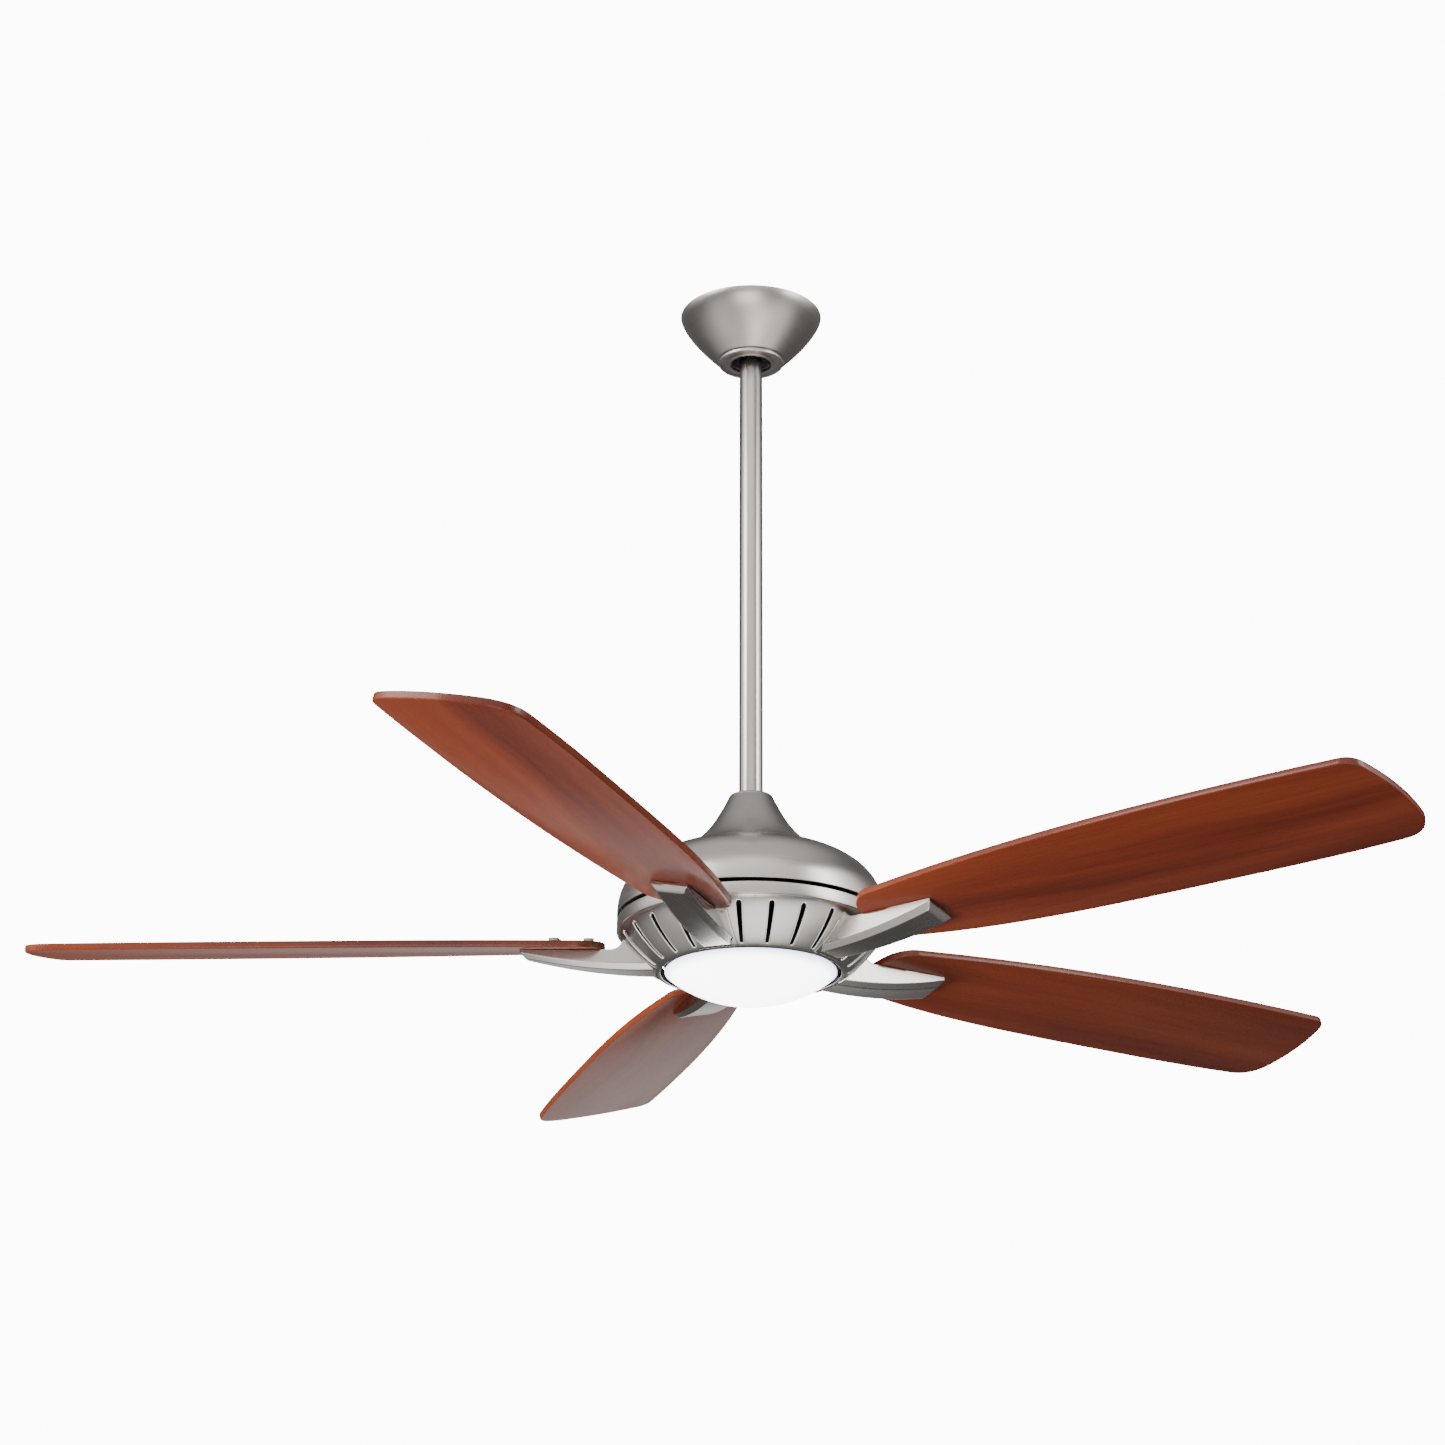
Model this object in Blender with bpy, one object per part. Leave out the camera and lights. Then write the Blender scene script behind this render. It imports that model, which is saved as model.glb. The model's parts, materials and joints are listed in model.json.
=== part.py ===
"""Five-blade ceiling fan with a light, hung on a downrod.

Metres, +Z up. The origin is on the ceiling, on the fan's axis, at the top of the hanger bracket.
Three empties carry the pieces that share a frame: ball_pivot, fan_head (where the blades'
middle plane crosses the axis) and lens_axis. Heights inside the fan head count from that plane.
"""

import math

import bmesh
import bpy
from mathutils import Matrix, Vector

# ---- clearances -------------------------------------------------------------------------------
GAP = 0.0003              # between faces that touch
RUN_GAP = 0.0006          # between faces that slide or turn on each other

# ---- ceiling side -----------------------------------------------------------------------------
BRACKET_LENGTH = 0.104
BRACKET_WIDTH = 0.036
BRACKET_PLATE = 0.0025
STRAP_THICKNESS = 0.003
STRAP_WIDTH = 0.022
CEILING_SCREW_SPACING = 0.084
CEILING_SLOT_LENGTH = 0.014
CEILING_SLOT_WIDTH = 0.005

BALL_RADIUS = 0.024
SOCKET_WALL = 0.0065      # of the ring the ball sits in
BALL_DEPTH = 0.026        # from the ceiling to the ball's centre
BALL_TOP = 0.003          # flat top above the ball's centre
BALL_BOTTOM = 0.0145      # flat bottom below the ball's centre
SEAT_TOP = 0.004          # where the seat starts below the ball's centre

CANOPY_RADIUS = 0.069
CANOPY_CLEARANCE = 0.0013 # between the canopy's floor and the socket
CANOPY_HEIGHT = 0.0473
CANOPY_WALL = 0.0012
CANOPY_CURVE = 1.35       # exponent of the bowl's side
CANOPY_SCREW_INSET = 0.005 # from the socket's outer side
CANOPY_SCREW_RADIUS = 0.0020
CANOPY_SCREW_HEAD = 0.0034
CANOPY_SCREW_REACH = 0.005  # into the socket

TRIM_INSET = 0.0016       # of the trim ring from the canopy floor's edge
TRIM_HOLE_RADIUS = 0.0197
TRIM_HEIGHT = 0.0035
TRIM_WALL = 0.0012

RECEIVER_SIZE = (0.034, 0.060, 0.012)
RECEIVER_TOP = 0.0045
RECEIVER_CORNER = 0.003

# ---- downrod ----------------------------------------------------------------------------------
ROD_RADIUS = 0.0111
ROD_WALL = 0.0026
ROD_LENGTH = 0.508
ROD_PIN_RADIUS = 0.0026
ROD_SOCKET_DEPTH = 0.0242  # how far the rod goes into the yoke
SWAY_PIN_DROP = 0.006      # of the ball's pin below the ball's centre

# ---- fan head, heights from the blades' middle plane -------------------------------------------
YOKE_WALL = 0.0054
YOKE_FLANGE_RADIUS = 0.028
YOKE_FLANGE_THICKNESS = 0.0038
YOKE_PIN_DEPTH = 0.013     # below the yoke's top
YOKE_PIN_PROUD = 0.003     # how far the pin stands out of the yoke
SET_SCREW_DEPTH = 0.0200
SET_SCREW_RADIUS = 0.0024
SET_SCREW_PROUD = 0.002

COVER_TOP = 0.1435
COVER_HEADROOM = 0.0091    # from the cover's top to the yoke's top
COVER_MARGIN = 0.0043      # from the yoke's side to the cover's
COVER_SHOULDER = 0.0022    # chamfer round the cover's top
COVER_SLOPE = 0.0278       # radius gained along the straight part of the flare
COVER_FLARE = 0.0165       # radius gained by the curl at the skirt
COVER_CURL = 3.6
COVER_WALL = 0.0012

DOME_RADIUS = 0.1229
DOME_LIP = 0.0256
DOME_RISE = 0.0665
DOME_SHOULDER = 2.68       # exponent that squares the shoulder
DOME_CROWN = 2.38          # exponent that flattens the crown
DOME_WALL = 0.0015

SHAFT_RADIUS = 0.0075
SHAFT_BORE = 0.0045
SHAFT_TOP_INSET = 0.0200   # how far the shaft goes up into the yoke
SHAFT_BOTTOM = -0.0175

MOTOR_RADIUS = 0.080
MOTOR_HEADROOM = 0.0040    # between the turning shell and the yoke's flange
MOTOR_BOTTOM = 0.0160
MOTOR_WALL = 0.003
BEARING_RADIUS = 0.0158
BEARING_HEIGHT = 0.0075
KEEL_WALL = 0.0015         # under the lower bearing
SHELL_EDGE = 0.004         # chamfer round the upper shell
FLANGE_CLEARANCE = 0.0088  # from the lower shell's flange to the bowl
MAGNET_THICKNESS = 0.009
MAGNET_HEIGHT = 0.028
AIR_GAP = 0.0010
STATOR_POLES = 12
STATOR_HEIGHT = 0.022
STATOR_HUB_RADIUS = 0.032
POLE_HALF_WIDTH = 0.0045
POLE_SHOE_DEPTH = 0.0045
WINDING_HEAD = 0.0065
WINDING_MARGIN = 0.004     # from the hub's side to the winding
WINDING_BAR = 0.0035       # half-depth of the copper in a slot

# ---- vented bowl ------------------------------------------------------------------------------
BOWL_GAP = 0.0033          # open line between the still dome and the turning bowl
BOWL_STEP = 0.0107
BOWL_STEP_INSET = 0.0020
BOWL_MOUTH = -0.0271
BOWL_MOUTH_CLEARANCE = 0.0044  # open ring between the bowl and the lens
BOWL_CURVE = 1.25
BOWL_WALL = 0.0020
BOWL_RIM_EDGE = 0.001      # chamfer round the rim
BOWL_LEDGE_DEPTH = 0.0159   # how far the ledge under the motor reaches in
BOWL_LEDGE_THICKNESS = 0.0027
SLOTS_PER_BAY = 4
SLOT_TOP_WIDTH = 0.0046    # a slot narrows towards the mouth
SLOT_LOW_WIDTH = 0.0029
SLOT_FROM = 0.085          # along the side wall, 0 at the step and 1 at the mouth
SLOT_TO = 0.90

# ---- blades and arms ---------------------------------------------------------------------------
BLADES = 5
FIRST_AZIMUTH = math.radians(-37.7)
SWEEP_RADIUS = 0.6604
BLADE_PITCH = math.radians(12.5)
BLADE_THICKNESS = 0.0064
TIP_CORNER_INSET = 0.011   # from the tip's apex to its corners, along the blade
ROOT_CLEARANCE = 0.0106    # between the dome and the blade's inner end
ROOT_NOSE = 0.0245         # length of the blade's rounded inner end
ROOT_NOSE_RADIUS = 0.075
LEADING_ROOT, LEADING_MAX, LEADING_POWER = 0.0440, 0.0737, 2.2
TRAILING_ROOT, TRAILING_MAX, TRAILING_POWER = 0.0385, 0.0586, 3.2
LEADING_PEAK_INSET, TRAILING_PEAK_INSET = 0.1204, 0.2104   # widest places, from the tip
TIP_ARC_RADIUS = 0.200
TIP_LEADING_CORNER = 0.012
TIP_TRAILING_CORNER = 0.024
ROOT_CORNER = 0.016

ARM_LAP = 0.0760           # how far the arm reaches under the blade
ARM_WIDTH = 0.0340
ARM_CHAMFER = 0.0044
ARM_TIP_THICKNESS = 0.0070
ARM_HUB_LEVEL = -0.0257    # underside at the hub
ARM_HUB_MARGIN = 0.0055    # from the bowl's mouth to where the underside is level
ARM_FILLET = 0.0115
ARM_FILLET_LEAD = 0.0046   # from the dome's side to the start of the fillet
FLANGE_BORDER = 0.0016
FLANGE_THICKNESS = 0.0030

SCREW_INSET, SCREW_PITCH, SCREW_HALF_SPACING = 0.0145, 0.031, 0.0095
BLADE_SCREW_RADIUS = 0.0024
BLADE_SCREW_REACH = 0.0038  # into the arm
SCREW_HOLE_EXTRA = 0.0004   # depth of the arm's blind holes past the screws
SCREW_HEAD_RADIUS = 0.0048
SCREW_HEAD_HEIGHT = 0.0028
PLATE_THICKNESS = 0.0016
PLATE_BORDER = 0.0075
ARM_BOLT_RADIUS = 0.0024
ARM_BOLT_REACH = 0.0065
ARM_BOLT_SPACING = 0.018

# ---- light -------------------------------------------------------------------------------------
PAN_RADIUS = 0.0765
PAN_TOP = -0.0065
PAN_FLOOR = 0.0020
PAN_RIM = -0.0245
PAN_WALL = 0.0015
PAN_EDGE = 0.003
DRIVER_SIZE = (0.080, 0.054, 0.0105)
DRIVER_CLEARANCE = 0.003   # between the driver and the shaft through it
BOARD_CLEARANCE = 0.015
BOARD_THICKNESS = 0.0016
BOARD_DROP = 0.0025
BOARD_HOLE_CLEARANCE = 0.003
PAN_NUT_WALL = 0.0055
PAN_NUT_HEIGHT = 0.006
LENS_OVERHANG = 0.0020     # of the lens's flange past the pan
LENS_FLANGE = 0.0015
LENS_SAG = 0.0276
LENS_WALL = 0.0022
LENS_SKIRT = 0.0088
LUG_COUNT = 3
LUG_ANGLE = math.radians(14.0)
LUG_HEIGHT = 0.0016
LUG_REACH = 0.0021

# ---- facets ------------------------------------------------------------------------------------
SEATS = BLADES * (SLOTS_PER_BAY + 1)   # equal bays around the bowl: arms and slots
BOWL_STEPS = 2 * SEATS
ROUND = 40
SMALL_ROUND = 24
PIN_ROUND = 12


# ---- derived places ----------------------------------------------------------------------------
SOCKET_OUTER_RADIUS = BALL_RADIUS + SOCKET_WALL
CANOPY_FLOOR_RADIUS = SOCKET_OUTER_RADIUS + CANOPY_CLEARANCE + CANOPY_WALL
CANOPY_SCREW_CIRCLE = SOCKET_OUTER_RADIUS - CANOPY_SCREW_INSET
TRIM_RADIUS = CANOPY_FLOOR_RADIUS - TRIM_INSET
TRIM_TOP = -(CANOPY_HEIGHT + GAP)
YOKE_TOP = COVER_TOP - COVER_HEADROOM
YOKE_RADIUS = ROD_RADIUS + YOKE_WALL
COVER_TOP_RADIUS = YOKE_RADIUS + COVER_MARGIN
YOKE_BORE_FLOOR = YOKE_TOP - ROD_SOCKET_DEPTH
ROD_TOP = -BALL_DEPTH + BALL_TOP
HEAD_HEIGHT = ROD_TOP - ROD_LENGTH - YOKE_BORE_FLOOR - GAP
SOCKET_BOTTOM = CANOPY_HEIGHT - CANOPY_WALL - GAP
BOWL_RIM = DOME_LIP - BOWL_GAP
WALL_RADIUS = DOME_RADIUS - BOWL_STEP_INSET
BOWL_INNER_RADIUS = WALL_RADIUS - BOWL_WALL
LENS_RADIUS = PAN_RADIUS + LENS_OVERHANG
BOWL_MOUTH_RADIUS = LENS_RADIUS + BOWL_MOUTH_CLEARANCE


def dome_height(radius):
    """Height of the dome's outer face: lip + rise * (1 - (r / R)**shoulder)**(1 / crown)."""
    return DOME_LIP + DOME_RISE * (1 - (radius / DOME_RADIUS) ** DOME_SHOULDER) ** (1 / DOME_CROWN)


YOKE_FLANGE_TOP = dome_height(YOKE_FLANGE_RADIUS) - DOME_WALL - GAP
YOKE_FLANGE_LOW = YOKE_FLANGE_TOP - YOKE_FLANGE_THICKNESS
MOTOR_TOP = YOKE_FLANGE_LOW - MOTOR_HEADROOM - MOTOR_WALL - BEARING_HEIGHT
STATOR_MIDDLE = (MOTOR_TOP + MOTOR_BOTTOM) / 2
MAGNET_OUTER = MOTOR_RADIUS - MOTOR_WALL - GAP
STATOR_RADIUS = MAGNET_OUTER - MAGNET_THICKNESS - AIR_GAP
SEAT_OFFSET = BLADE_THICKNESS / 2 + GAP
ROOT_RADIUS = DOME_RADIUS + ROOT_CLEARANCE
ROOT_SIDE = ROOT_RADIUS + ROOT_NOSE
LEADING_PEAK, TRAILING_PEAK = SWEEP_RADIUS - LEADING_PEAK_INSET, SWEEP_RADIUS - TRAILING_PEAK_INSET
ARM_TIP_RADIUS = ROOT_RADIUS + ARM_LAP
ARM_HUB_RADIUS = BOWL_MOUTH_RADIUS + ARM_HUB_MARGIN
ARM_FILLET_START = DOME_RADIUS + ARM_FILLET_LEAD
BLADE_SCREWS = ((ROOT_RADIUS + SCREW_INSET, 0.0),
                (ROOT_RADIUS + SCREW_INSET + SCREW_PITCH, -SCREW_HALF_SPACING),
                (ROOT_RADIUS + SCREW_INSET + SCREW_PITCH, SCREW_HALF_SPACING))
LENS_TOP = PAN_RIM - GAP
PAN_INNER = PAN_RADIUS - PAN_WALL
PAN_NUT_RADIUS = SHAFT_RADIUS + PAN_NUT_WALL
SKIRT_RADIUS = PAN_INNER - RUN_GAP - LUG_REACH
LUG_FLOOR = LENS_TOP + LENS_SKIRT - LUG_HEIGHT


# ---- scene and materials -----------------------------------------------------------------------
for old in list(bpy.data.objects):
    bpy.data.objects.remove(old, do_unlink=True)


def make_material(name, colour, roughness, metallic):
    material = bpy.data.materials.new(name)
    material.use_nodes = True
    shader = material.node_tree.nodes["Principled BSDF"]
    shader.inputs["Base Color"].default_value = (*colour, 1)
    shader.inputs["Roughness"].default_value = roughness
    shader.inputs["Metallic"].default_value = metallic
    return material


NICKEL = make_material("brushed_nickel", (0.42, 0.40, 0.37), 0.38, 1.0)
STEEL = make_material("zinc_steel", (0.50, 0.50, 0.50), 0.40, 1.0)
WOOD = make_material("cherry_blade", (0.16, 0.042, 0.018), 0.35, 0.0)
OPAL = make_material("opal_lens", (0.93, 0.94, 0.97), 0.45, 0.0)
BLACK = make_material("black_plastic", (0.02, 0.02, 0.02), 0.55, 0.0)
COPPER = make_material("copper_winding", (0.60, 0.26, 0.12), 0.40, 1.0)
IRON = make_material("laminated_iron", (0.20, 0.20, 0.21), 0.55, 1.0)
MAGNET = make_material("magnet", (0.10, 0.10, 0.10), 0.60, 0.0)
BOARD = make_material("white_board", (0.85, 0.86, 0.86), 0.50, 0.0)
PAINT = make_material("dark_painted_metal", (0.05, 0.05, 0.05), 0.50, 0.6)


def make_empty(name, location, parent=None):
    empty = bpy.data.objects.new(name, None)
    bpy.context.scene.collection.objects.link(empty)
    empty.location = location
    empty.parent = parent
    return empty


CEILING = make_empty("ceiling_frame", (0, 0, 0))
BALL = make_empty("ball_pivot", (0, 0, -BALL_DEPTH))
HEAD = make_empty("fan_head", (0, 0, HEAD_HEIGHT + BALL_DEPTH), BALL)
LENS_AXIS = make_empty("lens_axis", (0, 0, LENS_TOP), HEAD)


# ---- modelling helpers -------------------------------------------------------------------------
def finish_mesh(name, bm, material, parent, smooth_angle=35):
    bmesh.ops.remove_doubles(bm, verts=bm.verts, dist=1e-6)
    bmesh.ops.recalc_face_normals(bm, faces=bm.faces)
    mesh = bpy.data.meshes.new(name)
    bm.to_mesh(mesh)
    bm.free()
    mesh.materials.append(material)
    mesh.shade_smooth()
    mesh.set_sharp_from_angle(angle=math.radians(smooth_angle))
    item = bpy.data.objects.new(name, mesh)
    bpy.context.scene.collection.objects.link(item)
    item.parent = parent
    return item


def add_turned(bm, profile, steps, turn=0.0):
    """Spins a closed (radius, height) outline about Z; facets are centred on the angle `turn`."""
    start = Matrix.Rotation(turn - math.pi / steps, 3, "Z")
    outer = 1.0 / math.cos(math.pi / steps)
    rim = [bm.verts.new(start @ Vector((r * outer, 0, z))) for r, z in profile]
    edges = [bm.edges.new((rim[i - 1], rim[i])) for i in range(len(rim))
             if profile[i - 1][0] > 0 or profile[i][0] > 0]
    bmesh.ops.spin(bm, geom=rim + edges, cent=(0, 0, 0), axis=(0, 0, 1),
                   angle=2 * math.pi, steps=steps, use_merge=True)
    bmesh.ops.remove_doubles(bm, verts=bm.verts, dist=1e-7)


def turned(name, profile, steps, material, parent, turn=0.0):
    bm = bmesh.new()
    add_turned(bm, profile, steps, turn)
    return finish_mesh(name, bm, material, parent)


def add_prism(bm, outline, low, high):
    """Extrudes a flat (x, y) outline from the height low to the height high."""
    floor = [bm.verts.new((x, y, low)) for x, y in outline]
    face = bm.faces.new(floor)
    grown = bmesh.ops.extrude_face_region(bm, geom=[face])
    top = [v for v in grown["geom"] if isinstance(v, bmesh.types.BMVert)]
    bmesh.ops.translate(bm, verts=top, vec=(0, 0, high - low))


def add_box(bm, low, high):
    centre = (Vector(low) + Vector(high)) / 2
    size = Vector(high) - Vector(low)
    made = bmesh.ops.create_cube(bm, size=1.0)
    bmesh.ops.scale(bm, vec=size, verts=made["verts"])
    bmesh.ops.translate(bm, vec=centre, verts=made["verts"])
    return made["verts"]


def box(name, low, high, material, parent):
    bm = bmesh.new()
    add_box(bm, low, high)
    return finish_mesh(name, bm, material, parent)


def add_rod(bm, radius, start, end, steps=PIN_ROUND):
    """A solid round bar from the point start to the point end."""
    start, end = Vector(start), Vector(end)
    along = end - start
    place = Matrix.Translation((start + end) / 2) @ along.to_track_quat("Z", "Y").to_matrix().to_4x4()
    made = bmesh.ops.create_cone(bm, cap_ends=True, segments=steps, radius1=radius,
                                 radius2=radius, depth=along.length, matrix=place)
    return made["verts"]


def boolean(item, operation, parts_of):
    """Applies one exact boolean: parts_of(bm) draws the other shape in the item's own frame."""
    bm = bmesh.new()
    parts_of(bm)
    tool = finish_mesh(item.name + "_tool", bm, item.data.materials[0], None)
    bpy.context.view_layer.update()
    tool.matrix_world = item.matrix_world
    modifier = item.modifiers.new("shape", "BOOLEAN")
    modifier.operation = operation
    modifier.solver = "EXACT"
    modifier.object = tool
    bpy.context.view_layer.update()
    result = bpy.data.meshes.new_from_object(
        item.evaluated_get(bpy.context.evaluated_depsgraph_get()))
    item.modifiers.clear()
    item.data = result
    result.shade_smooth()
    result.set_sharp_from_angle(angle=math.radians(35))
    bpy.data.objects.remove(tool, do_unlink=True)
    return item


def cut(item, parts_of):
    return boolean(item, "DIFFERENCE", parts_of)


def join(item, parts_of):
    return boolean(item, "UNION", parts_of)


def spread(low, high, count):
    return [low + (high - low) * i / (count - 1) for i in range(count)]


def thick_wall(line, wall):
    """Closed outline of a sheet: `line` is its outer side, and the wall grows to the line's right."""
    inner = []
    for i, (r, z) in enumerate(line):
        before = Vector(line[max(i - 1, 0)])
        after = Vector(line[min(i + 1, len(line) - 1)])
        along = (after - before).normalized()
        inner.append((r + along.y * wall, z - along.x * wall))
    return list(line) + inner[::-1]


# ---- pieces fixed to the ceiling -----------------------------------------------------------------
def build_bracket():
    half = BRACKET_LENGTH / 2
    item = box("hanger_bracket", (-half, -BRACKET_WIDTH / 2, -BRACKET_PLATE),
               (half, BRACKET_WIDTH / 2, 0), STEEL, CEILING)
    hug = BALL_RADIUS + GAP
    seat = [math.asin(x / hug) for x in spread(SEAT_TOP, BALL_BOTTOM, 5)]
    bowl = [(hug * math.cos(a), -BALL_DEPTH - hug * math.sin(a)) for a in seat]
    socket = [(SOCKET_OUTER_RADIUS, bowl[0][1])] + bowl
    socket += [(bowl[-1][0], -SOCKET_BOTTOM), (SOCKET_OUTER_RADIUS, -SOCKET_BOTTOM)]

    def straps(bm):
        for side in (-1, 1):
            near = side * (SOCKET_OUTER_RADIUS - STRAP_THICKNESS)
            far = side * SOCKET_OUTER_RADIUS
            add_box(bm, (min(near, far), -STRAP_WIDTH / 2, -BALL_DEPTH - BALL_BOTTOM),
                    (max(near, far), STRAP_WIDTH / 2, -BRACKET_PLATE / 2))

    join(item, straps)
    join(item, lambda bm: add_turned(bm, socket, SMALL_ROUND))

    def holes(bm):
        for side in (-1, 1):
            slot = (CEILING_SLOT_LENGTH - CEILING_SLOT_WIDTH) / 2
            middle = side * CEILING_SCREW_SPACING / 2
            outline = []
            for end, first in ((1, -90), (-1, 90)):
                for angle in spread(first, first + 180, 5):
                    a = math.radians(angle)
                    outline.append((middle + end * slot + CEILING_SLOT_WIDTH / 2 * math.cos(a),
                                    CEILING_SLOT_WIDTH / 2 * math.sin(a)))
            add_prism(bm, outline, -2 * BRACKET_PLATE, BRACKET_PLATE)
            add_rod(bm, CANOPY_SCREW_RADIUS + GAP, (0, side * CANOPY_SCREW_CIRCLE, -2 * SOCKET_BOTTOM),
                    (0, side * CANOPY_SCREW_CIRCLE, -SOCKET_BOTTOM + CANOPY_SCREW_REACH + 2 * GAP))

    return cut(item, holes)


def canopy_line(count):
    """Outer side of the canopy, rim to floor: radius falls from rim to floor with depth**curve."""
    line = []
    for t in spread(0.0, 1.0, count):
        drop = t ** CANOPY_CURVE
        line.append((CANOPY_RADIUS + (CANOPY_FLOOR_RADIUS - CANOPY_RADIUS) * drop, -CANOPY_HEIGHT * t))
    return line


def build_canopy():
    line = canopy_line(7)
    inner = thick_wall(line, CANOPY_WALL)[len(line):]
    inner_floor = -CANOPY_HEIGHT + CANOPY_WALL
    side = [(r, min(z, 0.0)) for r, z in inner if z > inner_floor + CANOPY_WALL]
    side[-1] = (CANOPY_RADIUS - CANOPY_WALL, 0.0)
    hole = TRIM_HOLE_RADIUS + GAP
    floor = [(hole, -CANOPY_HEIGHT), (hole, inner_floor),
             (CANOPY_FLOOR_RADIUS - CANOPY_WALL, inner_floor)]
    item = turned("canopy", line + floor + side, ROUND, NICKEL, CEILING)

    def screw_holes(bm):
        for side_of in (-1, 1):
            y = side_of * CANOPY_SCREW_CIRCLE
            add_rod(bm, CANOPY_SCREW_RADIUS + GAP, (0, y, -2 * CANOPY_HEIGHT), (0, y, -CANOPY_HEIGHT / 2))

    return cut(item, screw_holes)


def build_canopy_ring():
    low, lip = TRIM_TOP - TRIM_HEIGHT, TRIM_HOLE_RADIUS + TRIM_WALL
    outline = [(TRIM_RADIUS, TRIM_TOP), (TRIM_RADIUS, low + TRIM_WALL / 2),
               (TRIM_RADIUS - TRIM_WALL / 2, low), (TRIM_HOLE_RADIUS, low),
               (TRIM_HOLE_RADIUS, TRIM_TOP - TRIM_HEIGHT / 3), (lip, TRIM_TOP - TRIM_HEIGHT / 3),
               (lip, low + TRIM_WALL), (TRIM_RADIUS - TRIM_WALL, low + TRIM_WALL),
               (TRIM_RADIUS - TRIM_WALL, TRIM_TOP)]
    return turned("canopy_ring", outline, 36, NICKEL, CEILING)


def build_canopy_screws():
    radius, tip = CANOPY_SCREW_RADIUS, -SOCKET_BOTTOM + CANOPY_SCREW_REACH
    head_low = TRIM_TOP - TRIM_HEIGHT + TRIM_WALL + GAP
    for number, side in enumerate((-1, 1), 1):
        outline = [(radius, tip), (radius, TRIM_TOP), (CANOPY_SCREW_HEAD, TRIM_TOP),
                   (CANOPY_SCREW_HEAD, head_low), (0, head_low), (0, tip)]
        item = turned(f"canopy_screw_{number}", outline, PIN_ROUND, STEEL, CEILING)
        item.location = (0, side * CANOPY_SCREW_CIRCLE, 0)


def build_receiver():
    x, y, z = RECEIVER_SIZE
    bm = bmesh.new()
    add_box(bm, (-x / 2, -y / 2, -RECEIVER_TOP - z), (x / 2, y / 2, -RECEIVER_TOP))
    upright = [e for e in bm.edges if abs(e.verts[0].co.z - e.verts[1].co.z) > z / 2]
    bmesh.ops.bevel(bm, geom=upright, offset=RECEIVER_CORNER, segments=2, affect="EDGES", profile=0.5)
    return finish_mesh("remote_receiver", bm, BLACK, CEILING)


# ---- downrod and its fittings --------------------------------------------------------------------
def build_ball():
    """A ball with flat top and bottom, bored for the rod; heights from its centre."""
    angles = spread(math.asin(BALL_TOP / BALL_RADIUS), -math.asin(BALL_BOTTOM / BALL_RADIUS), 7)
    skin = [(BALL_RADIUS * math.cos(a), BALL_RADIUS * math.sin(a)) for a in angles]
    bore = ROD_RADIUS + GAP
    item = turned("hanger_ball", skin + [(bore, -BALL_BOTTOM), (bore, BALL_TOP)], SMALL_ROUND, BLACK, BALL)
    reach = BALL_RADIUS * 1.5
    ends = (-reach, 0, -SWAY_PIN_DROP), (reach, 0, -SWAY_PIN_DROP)
    return cut(item, lambda bm: add_rod(bm, ROD_PIN_RADIUS + GAP, *ends))


def build_rod():
    top, bottom = BALL_TOP, BALL_TOP - ROD_LENGTH
    inner = ROD_RADIUS - ROD_WALL
    outline = [(ROD_RADIUS, top), (ROD_RADIUS, bottom), (inner, bottom), (inner, top)]
    item = turned("downrod", outline, SMALL_ROUND, NICKEL, BALL)
    yoke_pin = YOKE_TOP - YOKE_PIN_DEPTH + HEAD.location.z

    def pin_holes(bm):
        for height in (-SWAY_PIN_DROP, yoke_pin):
            add_rod(bm, ROD_PIN_RADIUS + GAP, (-0.05, 0, height), (0.05, 0, height))

    return cut(item, pin_holes)


def build_pin(name, half_length, height, parent):
    bm = bmesh.new()
    add_rod(bm, ROD_PIN_RADIUS, (-half_length, 0, height), (half_length, 0, height))
    return finish_mesh(name, bm, STEEL, parent)


def build_yoke():
    """A collar over the rod's end, with a flange that carries the dome and the motor shaft."""
    bore, shaft = ROD_RADIUS + GAP, SHAFT_RADIUS + GAP
    outline = [(YOKE_RADIUS, YOKE_TOP), (YOKE_RADIUS, YOKE_FLANGE_TOP),
               (YOKE_FLANGE_RADIUS, YOKE_FLANGE_TOP), (YOKE_FLANGE_RADIUS, YOKE_FLANGE_LOW),
               (shaft, YOKE_FLANGE_LOW), (shaft, YOKE_BORE_FLOOR), (bore, YOKE_BORE_FLOOR), (bore, YOKE_TOP)]
    item = turned("motor_yoke", outline, SMALL_ROUND, PAINT, HEAD)
    pin, screw = YOKE_TOP - YOKE_PIN_DEPTH, YOKE_TOP - SET_SCREW_DEPTH

    def holes(bm):
        add_rod(bm, ROD_PIN_RADIUS + GAP, (-0.05, 0, pin), (0.05, 0, pin))
        add_rod(bm, SET_SCREW_RADIUS + GAP, (0, -0.05, screw), (0, 0, screw))

    return cut(item, holes)


def build_set_screw():
    height = YOKE_TOP - SET_SCREW_DEPTH
    bm = bmesh.new()
    add_rod(bm, SET_SCREW_RADIUS, (0, -YOKE_RADIUS - SET_SCREW_PROUD, height), (0, -ROD_RADIUS - GAP, height))
    return finish_mesh("yoke_set_screw", bm, STEEL, HEAD)


def cover_line(count):
    """Outer side of the yoke cover, top to skirt: a straight flare plus a curl near the skirt."""
    base = dome_height(COVER_TOP_RADIUS + COVER_SLOPE + COVER_FLARE) + GAP
    shoulder = COVER_TOP - COVER_SHOULDER
    line = []
    for s in spread(0.0, 1.0, count):
        radius = COVER_TOP_RADIUS + COVER_SLOPE * s + COVER_FLARE * s ** COVER_CURL
        line.append((radius, shoulder - (shoulder - base) * s))
    return line


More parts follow.
